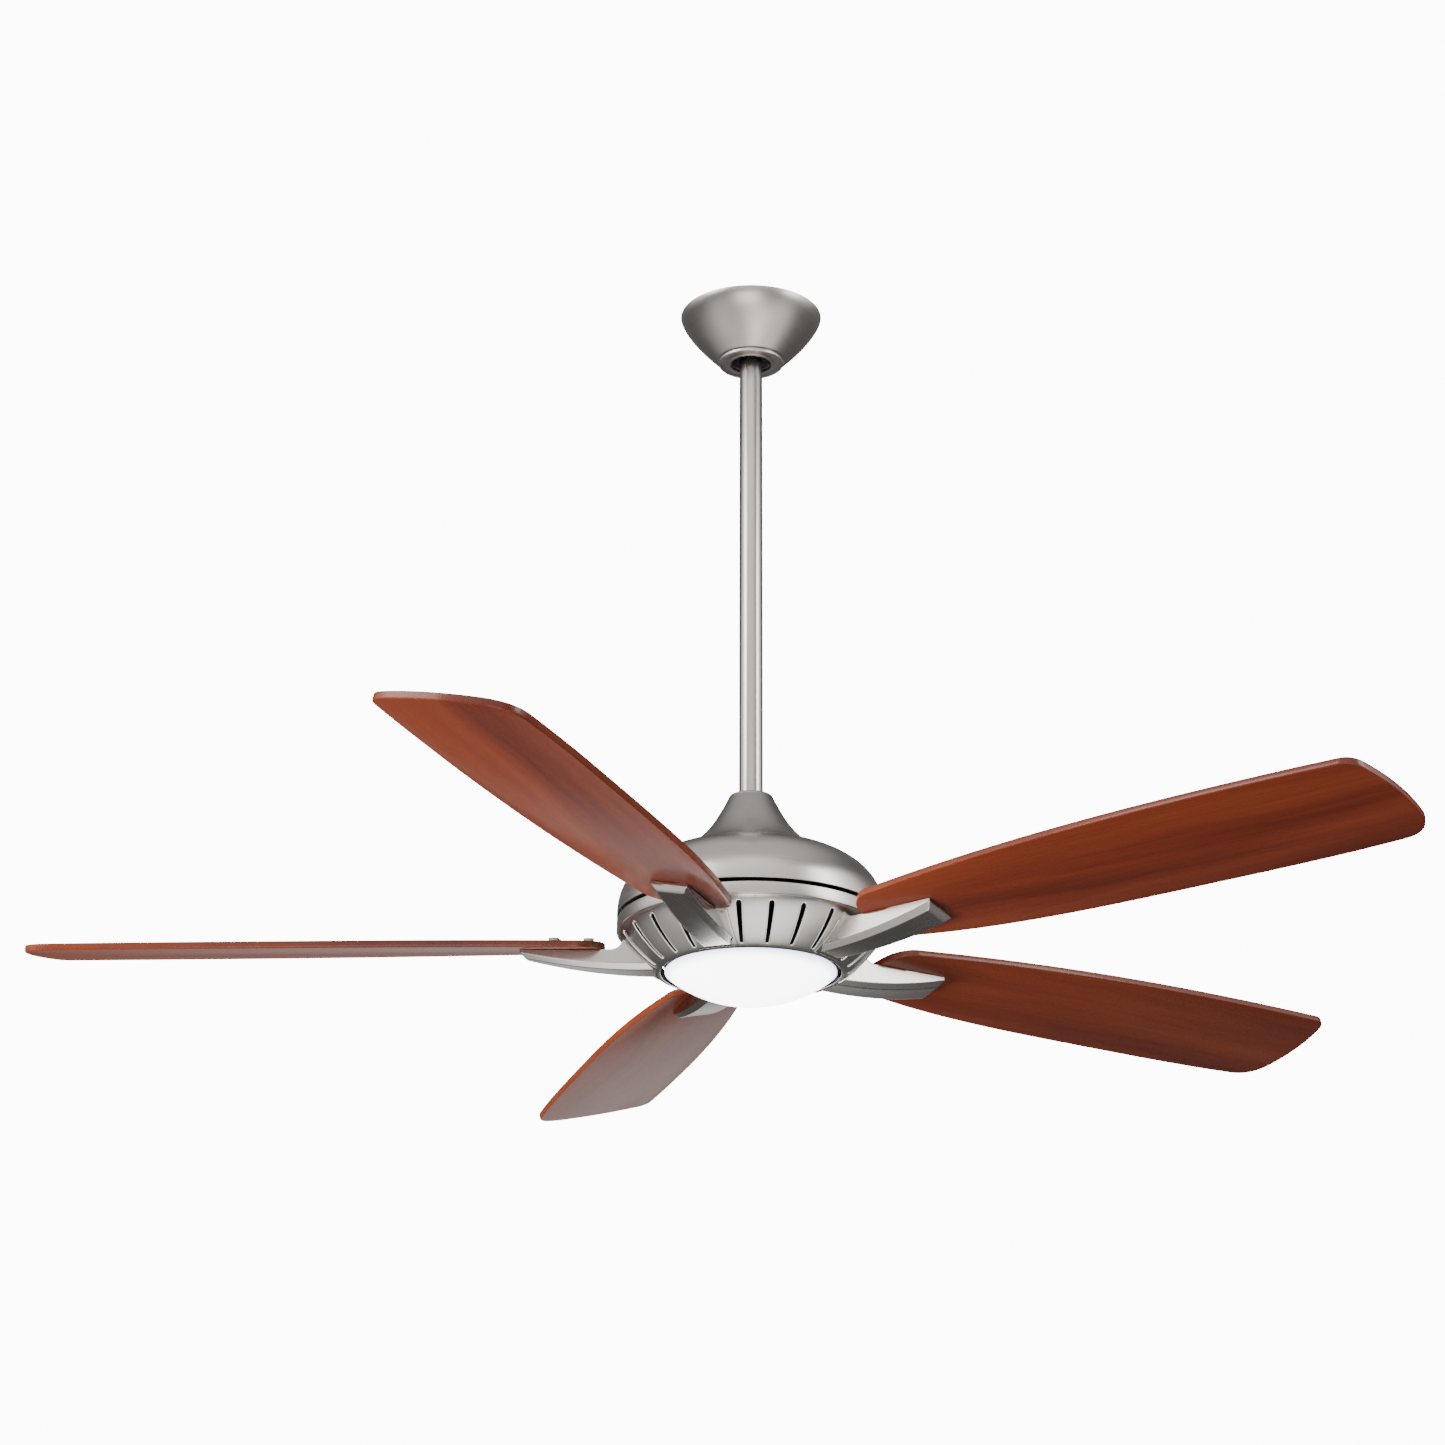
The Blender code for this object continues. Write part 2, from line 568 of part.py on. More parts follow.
def build_yoke_cover():
    line = [(COVER_TOP_RADIUS - COVER_SHOULDER, COVER_TOP)] + cover_line(8)
    inner = thick_wall(line, COVER_WALL)[len(line):]
    foot = line[-1][0] - 1.6 * COVER_WALL
    inside = [(foot, dome_height(foot) + GAP)]
    inside += [(r, z) for r, z in inner[1:] if z < COVER_TOP - COVER_WALL - COVER_SHOULDER]
    hole = ROD_RADIUS + RUN_GAP
    roof = COVER_TOP - COVER_WALL
    top = [(COVER_TOP_RADIUS - COVER_SHOULDER - COVER_WALL, roof), (hole, roof), (hole, COVER_TOP)]
    return turned("yoke_cover", line + inside + top, ROUND, NICKEL, HEAD)


# ---- motor ---------------------------------------------------------------------------------------
def dome_line(count):
    """Outer side of the dome from its hole to its lip, closer together at the shoulder."""
    hole = YOKE_RADIUS + GAP
    turns = spread(math.asin(hole / DOME_RADIUS), math.pi / 2, count)
    return [(DOME_RADIUS * math.sin(a), dome_height(min(DOME_RADIUS * math.sin(a), DOME_RADIUS)))
            for a in turns]


def build_dome():
    line = dome_line(12)
    inner = thick_wall(line, DOME_WALL)[len(line):]
    inner[0] = (DOME_RADIUS - DOME_WALL, DOME_LIP)
    inner[-1] = (line[0][0], line[0][1] - DOME_WALL)
    return turned("motor_dome", line + inner, ROUND, NICKEL, HEAD)


def build_shaft():
    top = YOKE_FLANGE_LOW + SHAFT_TOP_INSET
    outline = [(SHAFT_RADIUS, top), (SHAFT_RADIUS, SHAFT_BOTTOM), (SHAFT_BORE, SHAFT_BOTTOM), (SHAFT_BORE, top)]
    return turned("motor_shaft", outline, SMALL_ROUND, STEEL, HEAD)


def pole_outline():
    """Cross-section of the laminated core: a hub with poles that widen into shoes."""
    shoe = STATOR_RADIUS - POLE_SHOE_DEPTH
    half_shoe = math.pi / STATOR_POLES * 0.82
    root = math.asin(POLE_HALF_WIDTH / STATOR_HUB_RADIUS)
    neck = math.asin(POLE_HALF_WIDTH / shoe)
    outline = []
    for pole in range(STATOR_POLES):
        middle = 2 * math.pi * pole / STATOR_POLES
        for radius, turn in ((STATOR_HUB_RADIUS, -root), (shoe, -neck), (shoe, -half_shoe),
                             (STATOR_RADIUS, -half_shoe), (STATOR_RADIUS, 0), (STATOR_RADIUS, half_shoe),
                             (shoe, half_shoe), (shoe, neck), (STATOR_HUB_RADIUS, root)):
            outline.append((radius * math.cos(middle + turn), radius * math.sin(middle + turn)))
    return outline


def build_stator():
    bm = bmesh.new()
    low, high = STATOR_MIDDLE - STATOR_HEIGHT / 2, STATOR_MIDDLE + STATOR_HEIGHT / 2
    add_prism(bm, pole_outline(), low, high)
    item = finish_mesh("stator_core", bm, IRON, HEAD)
    ends = (0, 0, low - 1e-3), (0, 0, high + 1e-3)
    return cut(item, lambda bm: add_rod(bm, SHAFT_RADIUS + GAP, *ends, SMALL_ROUND))


def build_winding():
    """The end turns above and below the core, joined by the copper that fills every slot."""
    inner, outer = STATOR_HUB_RADIUS + WINDING_MARGIN, STATOR_RADIUS - POLE_SHOE_DEPTH - WINDING_MARGIN / 2
    half = STATOR_HEIGHT / 2 + GAP

    def ring(low, high):
        return [(outer, high), (outer, low), (inner, low), (inner, high)]

    top = STATOR_MIDDLE + half
    item = turned("stator_winding", ring(top, top + WINDING_HEAD), 2 * STATOR_POLES, COPPER, HEAD)
    low = STATOR_MIDDLE - half
    join(item, lambda bm: add_turned(bm, ring(low - WINDING_HEAD, low), 2 * STATOR_POLES))
    bar_radius = inner + 0.75 * (outer - inner)
    half_bar = bar_radius * math.sin(math.pi / STATOR_POLES) - POLE_HALF_WIDTH - 3 * GAP

    def bars(bm):
        for number in range(STATOR_POLES):
            made = add_box(bm, (bar_radius - WINDING_BAR, -half_bar, low - WINDING_HEAD / 2),
                           (bar_radius + WINDING_BAR, half_bar, top + WINDING_HEAD / 2))
            turn = Matrix.Rotation(2 * math.pi * (number + 0.5) / STATOR_POLES, 3, "Z")
            bmesh.ops.rotate(bm, verts=made, cent=(0, 0, 0), matrix=turn)

    return join(item, bars)


def build_motor_shells():
    boss = BEARING_RADIUS + GAP + MOTOR_WALL
    seat, shaft = BEARING_RADIUS + GAP, SHAFT_RADIUS + 3 * RUN_GAP
    inner = MOTOR_RADIUS - MOTOR_WALL
    top, roof, split = MOTOR_TOP, MOTOR_TOP - MOTOR_WALL, STATOR_MIDDLE
    crown = top + BEARING_HEIGHT + MOTOR_WALL
    upper = [(shaft, crown), (boss, crown), (boss, top), (MOTOR_RADIUS - SHELL_EDGE, top),
             (MOTOR_RADIUS, top - SHELL_EDGE), (MOTOR_RADIUS, split), (inner, split),
             (inner, roof), (seat, roof), (seat, crown - MOTOR_WALL), (shaft, crown - MOTOR_WALL)]
    turned("motor_shell_upper", upper[::-1], ROUND, PAINT, HEAD)
    floor, low = MOTOR_BOTTOM + MOTOR_WALL, MOTOR_BOTTOM
    keel = low - BEARING_HEIGHT
    split -= GAP
    flange = BOWL_INNER_RADIUS - FLANGE_CLEARANCE
    lower = [(MOTOR_RADIUS, split), (MOTOR_RADIUS, floor), (flange, floor), (flange, low), (boss, low),
             (boss, keel), (shaft, keel), (shaft, keel + KEEL_WALL), (seat, keel + KEEL_WALL), (seat, floor),
             (inner, floor), (inner, split)]
    turned("motor_shell_lower", lower, ROUND, PAINT, HEAD)
    ring = SHAFT_RADIUS + RUN_GAP
    for name, base in (("upper_bearing", roof), ("lower_bearing", keel + KEEL_WALL + GAP)):
        outline = [(BEARING_RADIUS, base + BEARING_HEIGHT - GAP), (BEARING_RADIUS, base), (ring, base),
                   (ring, base + BEARING_HEIGHT - GAP)]
        turned(name, outline, SMALL_ROUND, STEEL, HEAD)
    half = MAGNET_HEIGHT / 2
    outline = [(MAGNET_OUTER, STATOR_MIDDLE + half), (MAGNET_OUTER, STATOR_MIDDLE - half),
               (MAGNET_OUTER - MAGNET_THICKNESS, STATOR_MIDDLE - half),
               (MAGNET_OUTER - MAGNET_THICKNESS, STATOR_MIDDLE + half)]
    turned("magnet_ring", outline, ROUND, MAGNET, HEAD)


# ---- vented bowl ---------------------------------------------------------------------------------
def wall_point(t, offset=0.0):
    """A point of the bowl's side, t from 0 at the step to 1 at the mouth, moved out by offset.

    The side is the curve ((r - mouth) / width)**n + ((step - z) / depth)**n = 1.
    """
    width, depth = WALL_RADIUS - BOWL_MOUTH_RADIUS, BOWL_STEP - BOWL_MOUTH
    angle = t * math.pi / 2
    c, s = max(math.cos(angle), 0.0), max(math.sin(angle), 0.0)
    size = (c ** BOWL_CURVE + s ** BOWL_CURVE) ** (1 / BOWL_CURVE)
    across, down = c / size, s / size
    normal = Vector((depth * across ** (BOWL_CURVE - 1), -width * down ** (BOWL_CURVE - 1)))
    if offset:
        normal.normalize()
    return (BOWL_MOUTH_RADIUS + width * across + normal.x * offset,
            BOWL_STEP - depth * down + normal.y * offset)


def bowl_side(count, offset=0.0):
    return [wall_point(t, offset) for t in spread(0.0, 1.0, count)]


def build_bowl():
    outer = [(DOME_RADIUS - BOWL_RIM_EDGE, BOWL_RIM), (DOME_RADIUS, BOWL_RIM - BOWL_RIM_EDGE)]
    outer += [(DOME_RADIUS, BOWL_STEP)]
    outer += bowl_side(6)
    ledge_top, ledge_radius = MOTOR_BOTTOM - GAP, BOWL_INNER_RADIUS - BOWL_LEDGE_DEPTH
    ledge_low = ledge_top - BOWL_LEDGE_THICKNESS
    inner = [wall_point(t, -BOWL_WALL) for t in spread(1.0, 0.12, 5)]
    inner[0] = (BOWL_MOUTH_RADIUS - 0.0001, BOWL_MOUTH + BOWL_WALL)
    ledge = [(inner[-1][0], ledge_low), (ledge_radius, ledge_low), (ledge_radius, ledge_top),
             (BOWL_INNER_RADIUS, ledge_top), (BOWL_INNER_RADIUS, BOWL_RIM)]
    item = turned("vented_bowl", outer + inner + ledge, BOWL_STEPS, NICKEL, HEAD, FIRST_AZIMUTH)
    low, high = wall_point(SLOT_TO), wall_point(SLOT_FROM)
    along = (Vector(high) - Vector(low)).normalized()
    centre = (Vector(high) + Vector(low)) / 2
    length = (Vector(high) - Vector(low)).length
    normal = Vector((along.y, -along.x))

    def openings(bm):
        for seat in range(SEATS):
            turn = Matrix.Rotation(FIRST_AZIMUTH + 2 * math.pi * seat / SEATS, 4, "Z")
            if seat % (SLOTS_PER_BAY + 1):
                tilt = Matrix(((along.x, 0, normal.x, centre.x), (0, 1, 0, 0),
                               (along.y, 0, normal.y, centre.y), (0, 0, 0, 1)))
                made = add_box(bm, (-length / 2, -SLOT_TOP_WIDTH / 2, -3 * BOWL_WALL),
                               (length / 2, SLOT_TOP_WIDTH / 2, 3 * BOWL_WALL))
                for vert in made:
                    if vert.co.x < 0:
                        vert.co.y *= SLOT_LOW_WIDTH / SLOT_TOP_WIDTH
                bmesh.ops.transform(bm, verts=made, matrix=turn @ tilt)
            else:
                for start, end in arm_bolt_lines(4 * BOWL_WALL, 4 * BOWL_WALL):
                    add_rod(bm, ARM_BOLT_RADIUS + GAP, turn @ start, turn @ end, 8)

    return cut(item, openings)


def arm_bolt_lines(inside, outside):
    """The two bolt axes of an arm at azimuth 0, along the wall's normal, from inside to outside."""
    foot, tip = Vector(wall_point(0.5)), Vector(wall_point(0.5, 1.0))
    normal = (tip - foot).normalized()
    lines = []
    for side in (-1, 1):
        y = side * ARM_BOLT_SPACING / 2
        start, end = foot - normal * inside, foot + normal * outside
        lines.append((Vector((start.x, y, start.y)), Vector((end.x, y, end.y))))
    return lines


# ---- blade arms ----------------------------------------------------------------------------------
def arm_section(u, blunt=0.0):
    """The arm's cross-section at radius u: top on the blade's plane, underside twisted to meet it."""
    half = ARM_WIDTH / 2
    reach = max(u - ARM_HUB_RADIUS, 0.0) / (ARM_TIP_RADIUS - ARM_HUB_RADIUS)
    tip_level = -SEAT_OFFSET / math.cos(BLADE_PITCH) - ARM_TIP_THICKNESS
    low = ARM_HUB_LEVEL + (tip_level - ARM_HUB_LEVEL) * reach ** 2
    rise = 0.0
    if u < ARM_FILLET_START:
        step = min(ARM_FILLET_START - u, ARM_FILLET)
        rise = ARM_FILLET - math.sqrt(max(ARM_FILLET ** 2 - step ** 2, 0.0))
    slope = math.tan(BLADE_PITCH)
    twist = slope * reach
    chamfer = ARM_CHAMFER * (1 - blunt)

    def top(v):
        return -SEAT_OFFSET / math.cos(BLADE_PITCH) - slope * v + rise

    def under(v):
        return low - twist * v + ARM_CHAMFER * blunt

    inner = half - chamfer - 0.0004
    return [(-half, top(-half)), (half, top(half)), (half, under(half) + chamfer + 0.0002),
            (inner, under(inner)), (-inner, under(-inner)), (-half, under(-half) + chamfer + 0.0002)]


def add_arm(bm):
    """The arm's blank: cross-sections along the radius, thinned over its tip's chamfer."""
    fillet = [ARM_FILLET_START - ARM_FILLET * (1 - math.cos(math.radians(a))) for a in (0, 35, 60, 80)]
    fillet += [ARM_FILLET_START - ARM_FILLET]
    stations = [BOWL_MOUTH_RADIUS - 2 * ARM_CHAMFER, (BOWL_MOUTH_RADIUS + WALL_RADIUS) / 2]
    stations += sorted(fillet) + spread(ROOT_RADIUS, ARM_TIP_RADIUS - ARM_CHAMFER, 6)
    loops = []
    for u in stations + [ARM_TIP_RADIUS]:
        blunt = 0.98 if u == ARM_TIP_RADIUS else 0.0
        loops.append([bm.verts.new((u, v, z)) for v, z in arm_section(u, blunt)])
    for first, second in zip(loops, loops[1:]):
        for i in range(len(first)):
            j = (i + 1) % len(first)
            bm.faces.new((first[i], first[j], second[j], second[i]))
    bm.faces.new(loops[0])
    bm.faces.new(loops[-1][::-1])


def add_arm_flange(bm):
    """The border that seats the arm on the bowl: a plate along the side wall, wider than the arm."""
    half = ARM_WIDTH / 2 + FLANGE_BORDER
    top = (WALL_RADIUS - FLANGE_THICKNESS, arm_section(ARM_FILLET_START - ARM_FILLET)[0][1] + FLANGE_BORDER)
    outline = [wall_point(t, FLANGE_THICKNESS - BOWL_WALL + GAP) for t in (0.22, 0.4, 0.6, 0.8, 0.94)]
    outline += [wall_point(t, -4 * BOWL_WALL) for t in (0.94, 0.22)]
    sides = [[bm.verts.new((r, side * half, min(z, top[1]))) for r, z in outline] for side in (-1, 1)]
    bm.faces.new(sides[0])
    bm.faces.new(sides[1][::-1])
    for i in range(len(outline)):
        j = (i + 1) % len(outline)
        bm.faces.new((sides[0][i], sides[1][i], sides[1][j], sides[0][j]))


def add_wall_cutter(bm, azimuth):
    """Everything inside the bowl's outer skin, with a gap, faceted as the bowl is."""
    skin = bowl_side(6, GAP)
    high, low = BOWL_RIM + ARM_WIDTH, BOWL_MOUTH - ARM_WIDTH
    outline = [(DOME_RADIUS + GAP, high), (DOME_RADIUS + GAP, BOWL_STEP)] + skin
    outline += [(skin[-1][0], low), (YOKE_RADIUS, low), (YOKE_RADIUS, high)]
    add_turned(bm, outline, BOWL_STEPS, azimuth)


def build_arm(number, azimuth):
    bm = bmesh.new()
    add_arm(bm)
    item = finish_mesh(f"blade_arm_{number}", bm, NICKEL, HEAD, 25)
    item.rotation_euler.z = azimuth
    bpy.context.view_layer.update()
    join(item, add_arm_flange)
    cut(item, lambda bm: add_wall_cutter(bm, 0.0))

    def holes(bm):
        for start, end in arm_bolt_lines(4 * BOWL_WALL, ARM_BOLT_REACH + GAP):
            add_rod(bm, ARM_BOLT_RADIUS + GAP, start, end, 8)
        tilt = Matrix.Rotation(-BLADE_PITCH, 4, "X")
        reach = BLADE_SCREW_REACH + SCREW_HOLE_EXTRA
        for u, v in BLADE_SCREWS:
            add_rod(bm, BLADE_SCREW_RADIUS + GAP, tilt @ Vector((u, v, -SEAT_OFFSET - reach)),
                    tilt @ Vector((u, v, BLADE_THICKNESS)), 8)

    return cut(item, holes)


def build_arm_bolts(number, azimuth):
    turn = Matrix.Rotation(azimuth, 4, "Z")
    for side, (start, end) in zip("ab", arm_bolt_lines(2.2 * BOWL_WALL, ARM_BOLT_REACH)):
        along = (end - start).normalized()
        bm = bmesh.new()
        add_rod(bm, ARM_BOLT_RADIUS, turn @ start, turn @ end, 8)
        item = finish_mesh(f"arm_bolt_{number}{side}", bm, STEEL, HEAD)
        head = start + along * 0.6 * BOWL_WALL
        join(item, lambda bm: add_rod(bm, SCREW_HEAD_RADIUS, turn @ (head - along * SCREW_HEAD_HEIGHT),
                                      turn @ head, 6))


# ---- blades --------------------------------------------------------------------------------------
def side_width(u, root, most, peak, power):
    """Half-width of a blade side: most wide at peak, falling as distance**power to the root's."""
    return most - (most - root) * (abs(peak - u) / (peak - ROOT_SIDE)) ** power


def leading(u):
    return -side_width(u, LEADING_ROOT, LEADING_MAX, LEADING_PEAK, LEADING_POWER)


def trailing(u):
    return side_width(u, TRAILING_ROOT, TRAILING_MAX, TRAILING_PEAK, TRAILING_POWER)


def tip_edge(v):
    return SWEEP_RADIUS - TIP_ARC_RADIUS + math.sqrt(TIP_ARC_RADIUS ** 2 - v * v)


def root_edge(v):
    return ROOT_RADIUS + ROOT_NOSE_RADIUS - math.sqrt(ROOT_NOSE_RADIUS ** 2 - v * v)


def corner(start, middle, end, count):
    """A rounded corner: the parabola that leaves start and reaches end along both sides."""
    start, middle, end = Vector(start), Vector(middle), Vector(end)
    return [tuple((1 - t) ** 2 * start + 2 * t * (1 - t) * middle + t * t * end)
            for t in spread(0.0, 1.0, count)]


def blade_outline():
    """The blade seen from above, counter-clockwise: root end, trailing side, tip, leading side."""
    tip_u = SWEEP_RADIUS - TIP_CORNER_INSET
    lead_tip = (tip_edge(leading(tip_u)), leading(tip_u))
    trail_tip = (tip_edge(trailing(tip_u)), trailing(tip_u))
    lead_root, trail_root = (root_edge(LEADING_ROOT), -LEADING_ROOT), (root_edge(TRAILING_ROOT), TRAILING_ROOT)
    points = [(root_edge(v), v) for v in spread(-LEADING_ROOT + ROOT_CORNER, TRAILING_ROOT - ROOT_CORNER, 5)]
    points = points[::-1]
    lead_from, trail_from = lead_root[0] + ROOT_CORNER, trail_root[0] + ROOT_CORNER
    points += corner(points[-1], lead_root, (lead_from, leading(lead_from)), 5)[1:]
    lead_stop = lead_tip[0] - TIP_LEADING_CORNER
    points += [(u, leading(u)) for u in spread(lead_from, lead_stop, 10)][1:]
    inset = lead_tip[1] + TIP_LEADING_CORNER
    points += corner(points[-1], lead_tip, (tip_edge(inset), inset), 5)[1:]
    outset = trail_tip[1] - TIP_TRAILING_CORNER
    points += [(tip_edge(v), v) for v in spread(inset, outset, 7)][1:]
    trail_stop = trail_tip[0] - TIP_TRAILING_CORNER
    points += corner(points[-1], trail_tip, (trail_stop, trailing(trail_stop)), 6)[1:]
    points += [(u, trailing(u)) for u in spread(trail_stop, trail_from, 10)][1:]
    points += corner(points[-1], trail_root, points[0], 5)[1:-1]
    return points


def build_blade(number, azimuth):
    bm = bmesh.new()
    half = BLADE_THICKNESS / 2
    add_prism(bm, blade_outline(), -half, half)
    item = finish_mesh(f"blade_{number}", bm, WOOD, HEAD)
    item.matrix_local = Matrix.Rotation(azimuth, 4, "Z") @ Matrix.Rotation(-BLADE_PITCH, 4, "X")
    bpy.context.view_layer.update()

    def holes(bm):
        for u, v in BLADE_SCREWS:
            add_rod(bm, BLADE_SCREW_RADIUS + GAP, (u, v, -2 * half), (u, v, 2 * half), 8)

    return cut(item, holes)


def build_blade_fixing(number, azimuth):
    """The backing plate on top of the blade, with its three screws as one solid."""
    base = BLADE_THICKNESS / 2 + GAP
    top = base + PLATE_THICKNESS
    sunk = top - PLATE_THICKNESS / 3
    outline = []
    for index, (u, v) in enumerate(BLADE_SCREWS):
        for angle in spread(*((105, 255), (225, 375), (-15, 135))[index], 5):
            a = math.radians(angle)
            outline.append((u + PLATE_BORDER * math.cos(a), v + PLATE_BORDER * math.sin(a)))
    bm = bmesh.new()
    add_prism(bm, outline, base, top)
    item = finish_mesh(f"blade_fixing_{number}", bm, STEEL, HEAD)
    item.matrix_local = Matrix.Rotation(azimuth, 4, "Z") @ Matrix.Rotation(-BLADE_PITCH, 4, "X")
    bpy.context.view_layer.update()

    def screws(bm):
        for u, v in BLADE_SCREWS:
            add_rod(bm, BLADE_SCREW_RADIUS, (u, v, -SEAT_OFFSET - BLADE_SCREW_REACH), (u, v, sunk), 8)

    def heads(bm):
        for u, v in BLADE_SCREWS:
            add_rod(bm, SCREW_HEAD_RADIUS, (u, v, sunk), (u, v, top + SCREW_HEAD_HEIGHT), PIN_ROUND)

    join(item, heads)
    return join(item, screws)


# ---- light ---------------------------------------------------------------------------------------
def build_pan():
    """A cup, open downwards, with three inward tabs that hold the lens's lugs."""
    floor, hole = PAN_TOP - PAN_FLOOR, SHAFT_RADIUS + GAP
    outline = [(hole, PAN_TOP), (PAN_RADIUS - PAN_EDGE, PAN_TOP), (PAN_RADIUS, PAN_TOP - PAN_EDGE),
               (PAN_RADIUS, PAN_RIM), (PAN_INNER, PAN_RIM), (PAN_INNER, floor), (hole, floor)]
    item = turned("light_pan", outline, ROUND, PAINT, HEAD)
    top = LUG_FLOOR - GAP

    def tabs(bm):
        for number in range(LUG_COUNT):
            made = add_lug(bm, SKIRT_RADIUS + RUN_GAP, PAN_INNER + PAN_WALL / 2, top - LUG_HEIGHT, top)
            turn = Matrix.Rotation(2 * math.pi * number / LUG_COUNT, 3, "Z")
            bmesh.ops.rotate(bm, verts=made, cent=(0, 0, 0), matrix=turn)

    return join(item, tabs)


def add_lug(bm, inner, outer, low, high):
    """A block between two radii, LUG_ANGLE wide."""
    turns = (-LUG_ANGLE / 2, 0, LUG_ANGLE / 2)
    outline = [(inner * math.cos(a), inner * math.sin(a)) for a in turns]
    outline += [(outer * math.cos(a), outer * math.sin(a)) for a in turns[::-1]]
    before = set(bm.verts)
    add_prism(bm, outline, low, high)
    return [v for v in bm.verts if v not in before]


def build_driver():
    x, y, z = DRIVER_SIZE
    base = PAN_TOP + GAP
    item = box("led_driver", (-x / 2, -y / 2, base), (x / 2, y / 2, base + z), BLACK, HEAD)
    hole = SHAFT_RADIUS + DRIVER_CLEARANCE
    return cut(item, lambda bm: add_rod(bm, hole, (0, 0, base - z), (0, 0, base + 2 * z), 16))


def build_board():
    high = PAN_TOP - PAN_FLOOR - BOARD_DROP
    low, hole = high - BOARD_THICKNESS, PAN_NUT_RADIUS + BOARD_HOLE_CLEARANCE
    edge = PAN_INNER - BOARD_CLEARANCE
    turned("led_board", [(edge, high), (edge, low), (hole, low), (hole, high)], ROUND, BOARD, HEAD)


def build_pan_nut():
    high = PAN_TOP - PAN_FLOOR - GAP
    low, hole = high - PAN_NUT_HEIGHT, SHAFT_RADIUS + GAP
    bm = bmesh.new()
    add_rod(bm, PAN_NUT_RADIUS, (0, 0, low), (0, 0, high), 6)
    item = finish_mesh("pan_nut", bm, STEEL, HEAD)
    ends = (0, 0, low - PAN_NUT_HEIGHT), (0, 0, high + PAN_NUT_HEIGHT)
    return cut(item, lambda bm: add_rod(bm, hole, *ends, SMALL_ROUND))


def lens_line(count, radius, sag, level):
    """A shallow spherical cap hanging below `level`, rim to middle."""
    ball = (radius ** 2 + sag ** 2) / (2 * sag)
    line = []
    for r in spread(radius, 0.0, count):
        line.append((r, level - (math.sqrt(ball ** 2 - r * r) - (ball - sag))))
    return line


def build_lens():
    """The opal dome with a flat flange, a skirt inside the pan's wall and three bayonet lugs.

    Heights count from the flange's top, which is the lens's own frame.
    """
    outer = lens_line(7, LENS_RADIUS, LENS_SAG, -LENS_FLANGE)
    skirt_inner = SKIRT_RADIUS - LENS_WALL
    inner = lens_line(6, skirt_inner, LENS_SAG - LENS_WALL, -LENS_FLANGE)[::-1]
    rim = [(skirt_inner, LENS_SKIRT), (SKIRT_RADIUS, LENS_SKIRT), (SKIRT_RADIUS, 0.0), (LENS_RADIUS, 0.0)]
    item = turned("lens", outer + inner + rim, ROUND, OPAL, LENS_AXIS)
    floor = LENS_SKIRT - LUG_HEIGHT

    def lugs(bm):
        for number in range(LUG_COUNT):
            made = add_lug(bm, SKIRT_RADIUS - LENS_WALL / 2, SKIRT_RADIUS + LUG_REACH - RUN_GAP,
                           floor, LENS_SKIRT - GAP)
            turn = Matrix.Rotation(2 * math.pi * number / LUG_COUNT, 3, "Z")
            bmesh.ops.rotate(bm, verts=made, cent=(0, 0, 0), matrix=turn)

    return join(item, lugs)


# ---- assembly ------------------------------------------------------------------------------------
build_bracket()
build_canopy()
build_canopy_ring()
build_canopy_screws()
build_receiver()

build_ball()
build_rod()
build_pin("ball_pin", BALL_RADIUS * 0.88, -SWAY_PIN_DROP, BALL)
build_yoke()
build_pin("yoke_pin", YOKE_RADIUS + YOKE_PIN_PROUD, YOKE_TOP - YOKE_PIN_DEPTH, HEAD)
build_set_screw()
build_yoke_cover()

build_dome()
build_shaft()
build_stator()
build_winding()
build_motor_shells()
build_bowl()

for index in range(BLADES):
    azimuth_of = FIRST_AZIMUTH + 2 * math.pi * index / BLADES
    build_arm(index + 1, azimuth_of)
    build_arm_bolts(index + 1, azimuth_of)
    build_blade(index + 1, azimuth_of)
    build_blade_fixing(index + 1, azimuth_of)

build_pan()
build_driver()
build_board()
build_pan_nut()
build_lens()
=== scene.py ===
"""Ceiling fan with a light: fine turned shells, wood blades and a plain white studio.

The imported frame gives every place: heights inside the fan head count from the height where the
blades' middle plane crosses the fan's axis, and radii count from that axis.
"""

import json
import math

import bmesh
import bpy
import numpy as np
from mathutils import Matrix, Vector


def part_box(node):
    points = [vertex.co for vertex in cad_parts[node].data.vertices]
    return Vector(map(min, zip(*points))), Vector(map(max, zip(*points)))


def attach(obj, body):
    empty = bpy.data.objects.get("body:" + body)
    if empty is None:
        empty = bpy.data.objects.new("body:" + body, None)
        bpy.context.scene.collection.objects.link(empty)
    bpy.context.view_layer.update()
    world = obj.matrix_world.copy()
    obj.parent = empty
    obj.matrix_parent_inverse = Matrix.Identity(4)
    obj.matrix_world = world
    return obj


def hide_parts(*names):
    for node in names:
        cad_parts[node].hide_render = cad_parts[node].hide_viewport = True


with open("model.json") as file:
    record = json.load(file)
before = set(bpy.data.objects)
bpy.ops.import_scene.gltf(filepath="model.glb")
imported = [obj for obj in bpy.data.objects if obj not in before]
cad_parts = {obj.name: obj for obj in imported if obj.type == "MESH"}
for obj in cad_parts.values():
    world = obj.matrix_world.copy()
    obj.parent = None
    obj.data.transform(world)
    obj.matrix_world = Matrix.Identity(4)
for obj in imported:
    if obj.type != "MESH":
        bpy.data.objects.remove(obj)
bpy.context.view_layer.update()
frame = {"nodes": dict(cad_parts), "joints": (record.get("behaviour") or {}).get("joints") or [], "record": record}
nodes = frame["nodes"]
joint_at = {joint["name"]: joint["pos_m"] for joint in frame["joints"]}
HEAD = joint_at["rotor_spin"][2]


# ---- sizes, in metres: read from the frame where a node's box gives them ------------------------
def top(node):
    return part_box(node)[1][2]


def bottom(node):
    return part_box(node)[0][2]


def radius(node):
    """Half the node's width along X, for a piece turned about the fan's axis."""
    low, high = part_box(node)
    return (high[0] - low[0]) / 2


